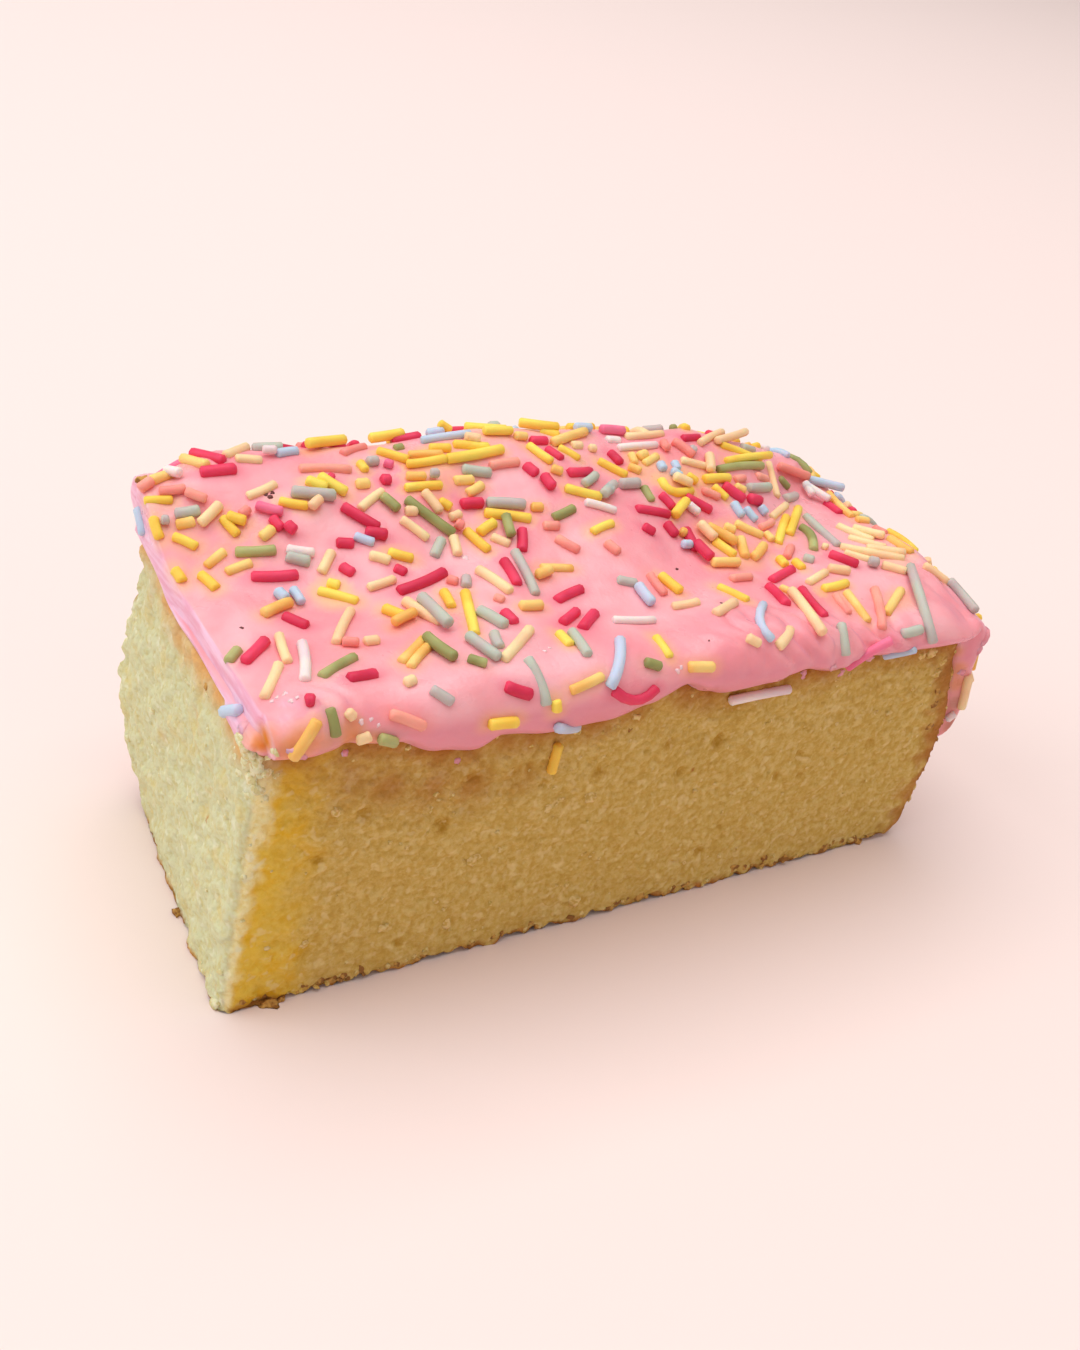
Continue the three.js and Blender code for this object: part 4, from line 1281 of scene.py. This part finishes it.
# Grain of the pressed sugar, and of the loose crumbs: two shades in patches, and fine relief.
grain_look = bpy.data.node_groups.new("grain", "ShaderNodeTree")
GRAIN_SOCKETS = [
    ("First Shade", "INPUT", "Color"), ("Second Shade", "INPUT", "Color"),
    ("Patch Scale", "INPUT", "Float"), ("Grain Scale", "INPUT", "Float"),
    ("Relief", "INPUT", "Float"), ("Shade", "OUTPUT", "Color"), ("Normal", "OUTPUT", "Vector"),
]
for name, side, kind in GRAIN_SOCKETS:
    grain_look.interface.new_socket(name, in_out=side, socket_type="NodeSocket" + kind)
given = grain_look.nodes.new("NodeGroupInput").outputs
result = grain_look.nodes.new("NodeGroupOutput").inputs
where = own_place(grain_look)
patches = {"Vector": where, "Scale": given["Patch Scale"], "Detail": 1.0, "Roughness": 0.55}
patches = add_node(grain_look, "TexNoise", patches)["Fac"]
patches = range_node(grain_look, patches, 0.4, 0.6)
shade = mix_node(grain_look, patches, given["First Shade"], given["Second Shade"])
feed(grain_look, shade, result["Shade"])
grain = {"Vector": where, "Scale": given["Grain Scale"], "Detail": 3.0, "Roughness": 0.55}
grain = add_node(grain_look, "TexNoise", grain)["Fac"]
feed(grain_look, bump_node(grain_look, grain, given["Relief"]), result["Normal"])


def grain_node(tree, shader, shades, patch, grain, relief):
    """Gives a material the grain: two shades, and its patches, grain and relief in metres."""
    scales = {"Patch Scale": 1 / patch, "Grain Scale": 1 / grain, "Relief": relief}
    inputs = {"First Shade": shades[0], "Second Shade": shades[1], **scales}
    look = add_node(tree, "Group", inputs, node_tree=grain_look)
    feed(tree, look["Shade"], shader["Base Color"])
    feed(tree, look["Normal"], shader["Normal"])


for name, form in strand_forms.items():
    material, shader, tree = new_material(
        "sugar_" + name, 0.5, specular=0.35, scattered=0.3, depth=0.001
    )
    grain_node(tree, shader, STRAND_SHADES[name], 7 * MM, 0.5 * MM, 0.036 * MM)
    new_piece("strands_" + name, mesh_of(form, "strands_" + name), material)


# ---------------------------------------------------------------------------------------------
# Crumbs, crystals and lumps. Loose crumbs stick to the cuts and along the torn edges, a few
# browned, with sugar crystals and dark specks of sugar on the icing and small lumps of icing on
# its lip. Those that the photo shows are placed by a pixel and their radius in millimetres.

PALE_CRUMBS = [
    (240, 744, 1.0), (247, 753, 1.2), (256, 761, 1.1), (266, 758, 0.8), (273, 752, 0.7),
    (245, 764, 0.9), (258, 771, 1.0), (251, 781, 0.9), (269, 771, 0.8), (235, 757, 0.7),
    (259, 789, 0.8), (239, 774, 0.7), (275, 776, 0.6), (247, 796, 0.6), (266, 799, 0.5),
    (338, 812, 0.8), (472, 859, 0.9), (447, 921, 1.0), (381, 929, 0.8), (303, 946, 0.9),
    (435, 901, 0.6), (548, 808, 0.9), (560, 800, 0.7), (590, 797, 1.0), (500, 850, 0.7),
    (583, 855, 0.5), (600, 858, 0.5), (573, 900, 0.9), (637, 718, 0.6), (932, 652, 1.0),
    (922, 656, 0.8), (942, 662, 0.9), (937, 672, 0.8), (205, 975, 0.8), (214, 1004, 0.9),
    (152, 712, 0.7), (127, 738, 0.6),
]
BROWN_CRUMBS = [
    (273, 1009, 1.0), (263, 1004, 0.6), (282, 1001, 0.5), (206, 686, 0.5), (174, 914, 0.8),
    (734, 868, 0.7), (764, 859, 0.6), (783, 858, 0.7), (825, 847, 0.7), (844, 843, 0.6),
    (853, 840, 0.6), (688, 889, 0.6), (640, 895, 0.7), (470, 945, 0.7), (361, 967, 0.8),
    (946, 660, 0.7), (938, 690, 0.7), (935, 705, 0.8), (930, 727, 0.8), (142, 478, 0.9),
    (630, 731, 0.4),
]
ICING_LUMPS = [
    (804, 674, 0.75), (833, 668, 0.6), (841, 674, 0.6), (989, 640, 1.3), (983, 648, 1.0),
    (292, 753, 0.7), (303, 757, 0.6), (345, 752, 0.5), (243, 726, 0.8), (238, 733, 0.6),
    (457, 761, 0.5), (870, 658, 0.6), (962, 672, 0.7),
]
CRYSTALS = [
    (268, 693, 0.35), (277, 697, 0.30), (285, 694, 0.40), (291, 701, 0.35), (297, 697, 0.30),
    (272, 701, 0.30), (361, 722, 0.35), (371, 719, 0.30), (379, 725, 0.30), (466, 558, 0.50),
    (545, 651, 0.35), (550, 648, 0.30), (678, 671, 0.45), (681, 667, 0.30),
]
DARK_SPECKS = [
    (709, 641, 0.28), (677, 569, 0.28), (721, 603, 0.26), (266, 494, 0.45), (270, 497, 0.40),
    (273, 493, 0.35), (242, 628, 0.30), (558, 600, 0.25), (410, 556, 0.30),
]
FINE_CRUMBS = 150  # scattered over the cuts
EDGE_CRUMBS = 110  # along the bottom and the right edge of the front cut
FINE_RADII = (0.22, 0.5)
LUMP_ROUGHNESS = (0.6, 0.4)  # at a large and a small size
LUMP_FLATNESS = 0.45
FROM_THE_FRONT = 0.7  # share of the fine crumbs that is on the front cut
FRONT_START = -60  # from where lines towards the cuts start, well outside the slice
LEFT_START = -90
FULL_TURN = 6.28


def new_lump(subdivisions, seed):
    """A mesh of one uneven lump, about 1 in radius."""
    form = bmesh.new()
    bmesh.ops.create_icosphere(form, subdivisions=subdivisions, radius=1)
    for vert in form.verts:
        coarse = noise.noise(vert.co * 1.2 + Vector((seed, 0, 0)))
        fine = noise.noise(vert.co * 2.9 + Vector((0, seed, 0)))
        vert.co *= 1 + LUMP_ROUGHNESS[0] * coarse + LUMP_ROUGHNESS[1] * fine
    return mesh_of(form, "lump")


big_lumps = [new_lump(2, seed * 9.7) for seed in range(4)]
fine_lumps = [new_lump(1, seed * 7.3) for seed in range(4)]


def add_lump(form, lumps, place, up, radius, sunk):
    """Adds a lump, turned at random, flattened against what carries it and sunk in it."""
    mesh = strew.choice(lumps)
    form.from_mesh(mesh)
    form.verts.ensure_lookup_table()
    turn = Matrix.Rotation(strew.uniform(0, FULL_TURN), 3, "X")
    turn = turn @ Matrix.Rotation(strew.uniform(0, FULL_TURN), 3, "Z")
    for vert in form.verts[-len(mesh.vertices):]:
        away = turn @ vert.co * radius * MM
        vert.co = place + away - up * (away.dot(up) * LUMP_FLATNESS + sunk * radius * MM)
        vert.co.z = max(vert.co.z, 0)


def add_seen_lumps(form, seen, sunk):
    """Adds lumps by their pixels and radii."""
    for across, down, radius in seen:
        place, up = lie_on_slice(across, down, 0, 0)[:2]
        add_lump(form, big_lumps, place, up, radius, sunk)


def touched(start, way):
    """Where a straight line from outside first meets the sponge, with the way out of it."""
    hit, normal, _, _ = sponge_tree.ray_cast(Vector(start) * MM, Vector(way))
    return hit, normal


pale_form = bmesh.new()
brown_form = bmesh.new()
add_seen_lumps(pale_form, PALE_CRUMBS, 0.3)
add_seen_lumps(brown_form, BROWN_CRUMBS, 0.3)
for _ in range(FINE_CRUMBS):
    if strew.random() < FROM_THE_FRONT:
        start = (strew.uniform(CUT_LEFT, TIN_RIGHT - 5), FRONT_START, strew.uniform(1, 36))
        hit, up = touched(start, (0, 1, 0))
    else:
        start = (LEFT_START, strew.uniform(CUT_FRONT, TIN_BACK - 4), strew.uniform(1, 37))
        hit, up = touched(start, (1, 0, 0))
    if hit is not None:
        add_lump(pale_form, fine_lumps, hit, up, strew.uniform(*FINE_RADII), 0.2)
for k in range(EDGE_CRUMBS):
    if k % 5 == 0:
        height = strew.uniform(4, 34)
        start = (to_tin(0, 0, height)[0] - 0.7, FRONT_START, height)
    else:
        start = (strew.uniform(CUT_LEFT, TIN_RIGHT - 8), FRONT_START, strew.uniform(0.3, 1.4))
    hit, up = touched(start, (0, 1, 0))
    if hit is not None:
        form = strew.choice((pale_form, brown_form, brown_form))
        add_lump(form, fine_lumps, hit, up, strew.uniform(*FINE_RADII) * 1.3, 0.2)

icing_lump_form = bmesh.new()
crystal_form = bmesh.new()
speck_form = bmesh.new()
add_seen_lumps(icing_lump_form, ICING_LUMPS, 0.2)
add_seen_lumps(crystal_form, CRYSTALS, 0.25)
add_seen_lumps(speck_form, DARK_SPECKS, 0.3)

LOOSE_LEFT_LIT = (colour(222, 208, 150), colour(236, 230, 190))
LOOSE_FRONT = (colour(208, 172, 92), colour(232, 202, 138))
LOOSE_BROWN = (colour(148, 98, 40), colour(206, 156, 78))
CRYSTAL_PINK = colour(255, 208, 212)
BURNT_SUGAR = colour(96, 26, 22)

pale_material, shader, tree = new_material(
    "crumb_pale", 0.9, specular=0.25, scattered=0.15, depth=0.0015
)
# Crumbs on and beside the left cut are paler, as that cut is: partly drier crumb, partly painted
# light.
along = add_node(tree, "SeparateXYZ", {"Vector": own_place(tree)})["X"]
past_corner = range_node(tree, along, (CUT_LEFT + 0.5) * MM, (CUT_LEFT + 5) * MM)
shades = [mix_node(tree, past_corner, *pair) for pair in zip(LOOSE_LEFT_LIT, LOOSE_FRONT)]
grain_node(tree, shader, shades, 0.6 * MM, 0.6 * MM, 0.35 * MM)

brown_material, shader, tree = new_material("crumb_brown", 0.85)
grain_node(tree, shader, LOOSE_BROWN, 0.9 * MM, 0.9 * MM, 0.3 * MM)

crystal_material, shader, _ = new_material("sugar_crystal", 0.12, scattered=0.3, depth=0.0008)
shader["Base Color"].default_value = CRYSTAL_PINK
speck_material, shader, _ = new_material("burnt_sugar", 0.4)
shader["Base Color"].default_value = BURNT_SUGAR

BITS = [
    ("crumbs_pale", pale_form, pale_material, "sponge"),
    ("crumbs_brown", brown_form, brown_material, "sponge"),
    ("icing_lumps", icing_lump_form, icing_material, "icing"),
    ("crystals", crystal_form, crystal_material, "strands"),
    ("dark_specks", speck_form, speck_material, "strands"),
]
for name, form, material, slot in BITS:
    bits = new_piece(name, mesh_of(form, name), material).data
    if material is icing_material:
        unstained = [(0, 0, 0, 0)] * len(bits.vertices)
        set_attribute(bits, "bleed", "FLOAT_COLOR", "color", unstained)


# ---------------------------------------------------------------------------------------------
# Floor, light and surroundings: a plain pale floor, a soft cool light from the left and behind,
# as from a window, a broad one overhead, and a dim warm fill in front.

FLOOR_SIZE = 3
FLOOR_PALE = colour(244, 226, 222)
ROOM_TINT = (1.0, 0.93, 0.90, 1)
ROOM_STRENGTH = 0.42
LIT_POINT = Vector((0, 0, 0.03))
LIGHTS = [
    ("window", (-1.5, 0.40, 1.07), 1.4, 13.6, (0.90, 0.96, 1.0)),
    ("overhead", (0.0, 0.30, 1.77), 1.8, 25, (1.0, 0.97, 0.95)),
    ("warm_fill", (0.70, -1.6, 0.57), 1.4, 2.0, (1.0, 0.82, 0.62)),
]  # place and size in metres, power in watts, tint

floor_form = bmesh.new()
bmesh.ops.create_grid(floor_form, x_segments=1, y_segments=1, size=FLOOR_SIZE)
floor_mesh = mesh_of(floor_form, "floor")
floor_material, shader, _ = new_material("plain_floor", 0.8)
shader["Base Color"].default_value = FLOOR_PALE
floor = bpy.data.objects.new("floor", floor_mesh)
floor_mesh.materials.append(floor_material)
bpy.context.scene.collection.objects.link(floor)
floor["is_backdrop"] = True

for name, place, size, power, tint in LIGHTS:
    data = bpy.data.lights.new(name, "AREA")
    data.size = size
    data.energy = power
    data.color = tint
    light = bpy.data.objects.new(name, data)
    light.location = place
    light.rotation_euler = (LIT_POINT - Vector(place)).to_track_quat("-Z", "Y").to_euler()
    bpy.context.scene.collection.objects.link(light)

world = bpy.data.worlds.new("room")
world.use_nodes = True
surroundings = world.node_tree.nodes["Background"].inputs
surroundings["Color"].default_value = ROOM_TINT
surroundings["Strength"].default_value = ROOM_STRENGTH
bpy.context.scene.world = world
bpy.context.scene.view_settings.view_transform = "Standard"

low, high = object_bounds()
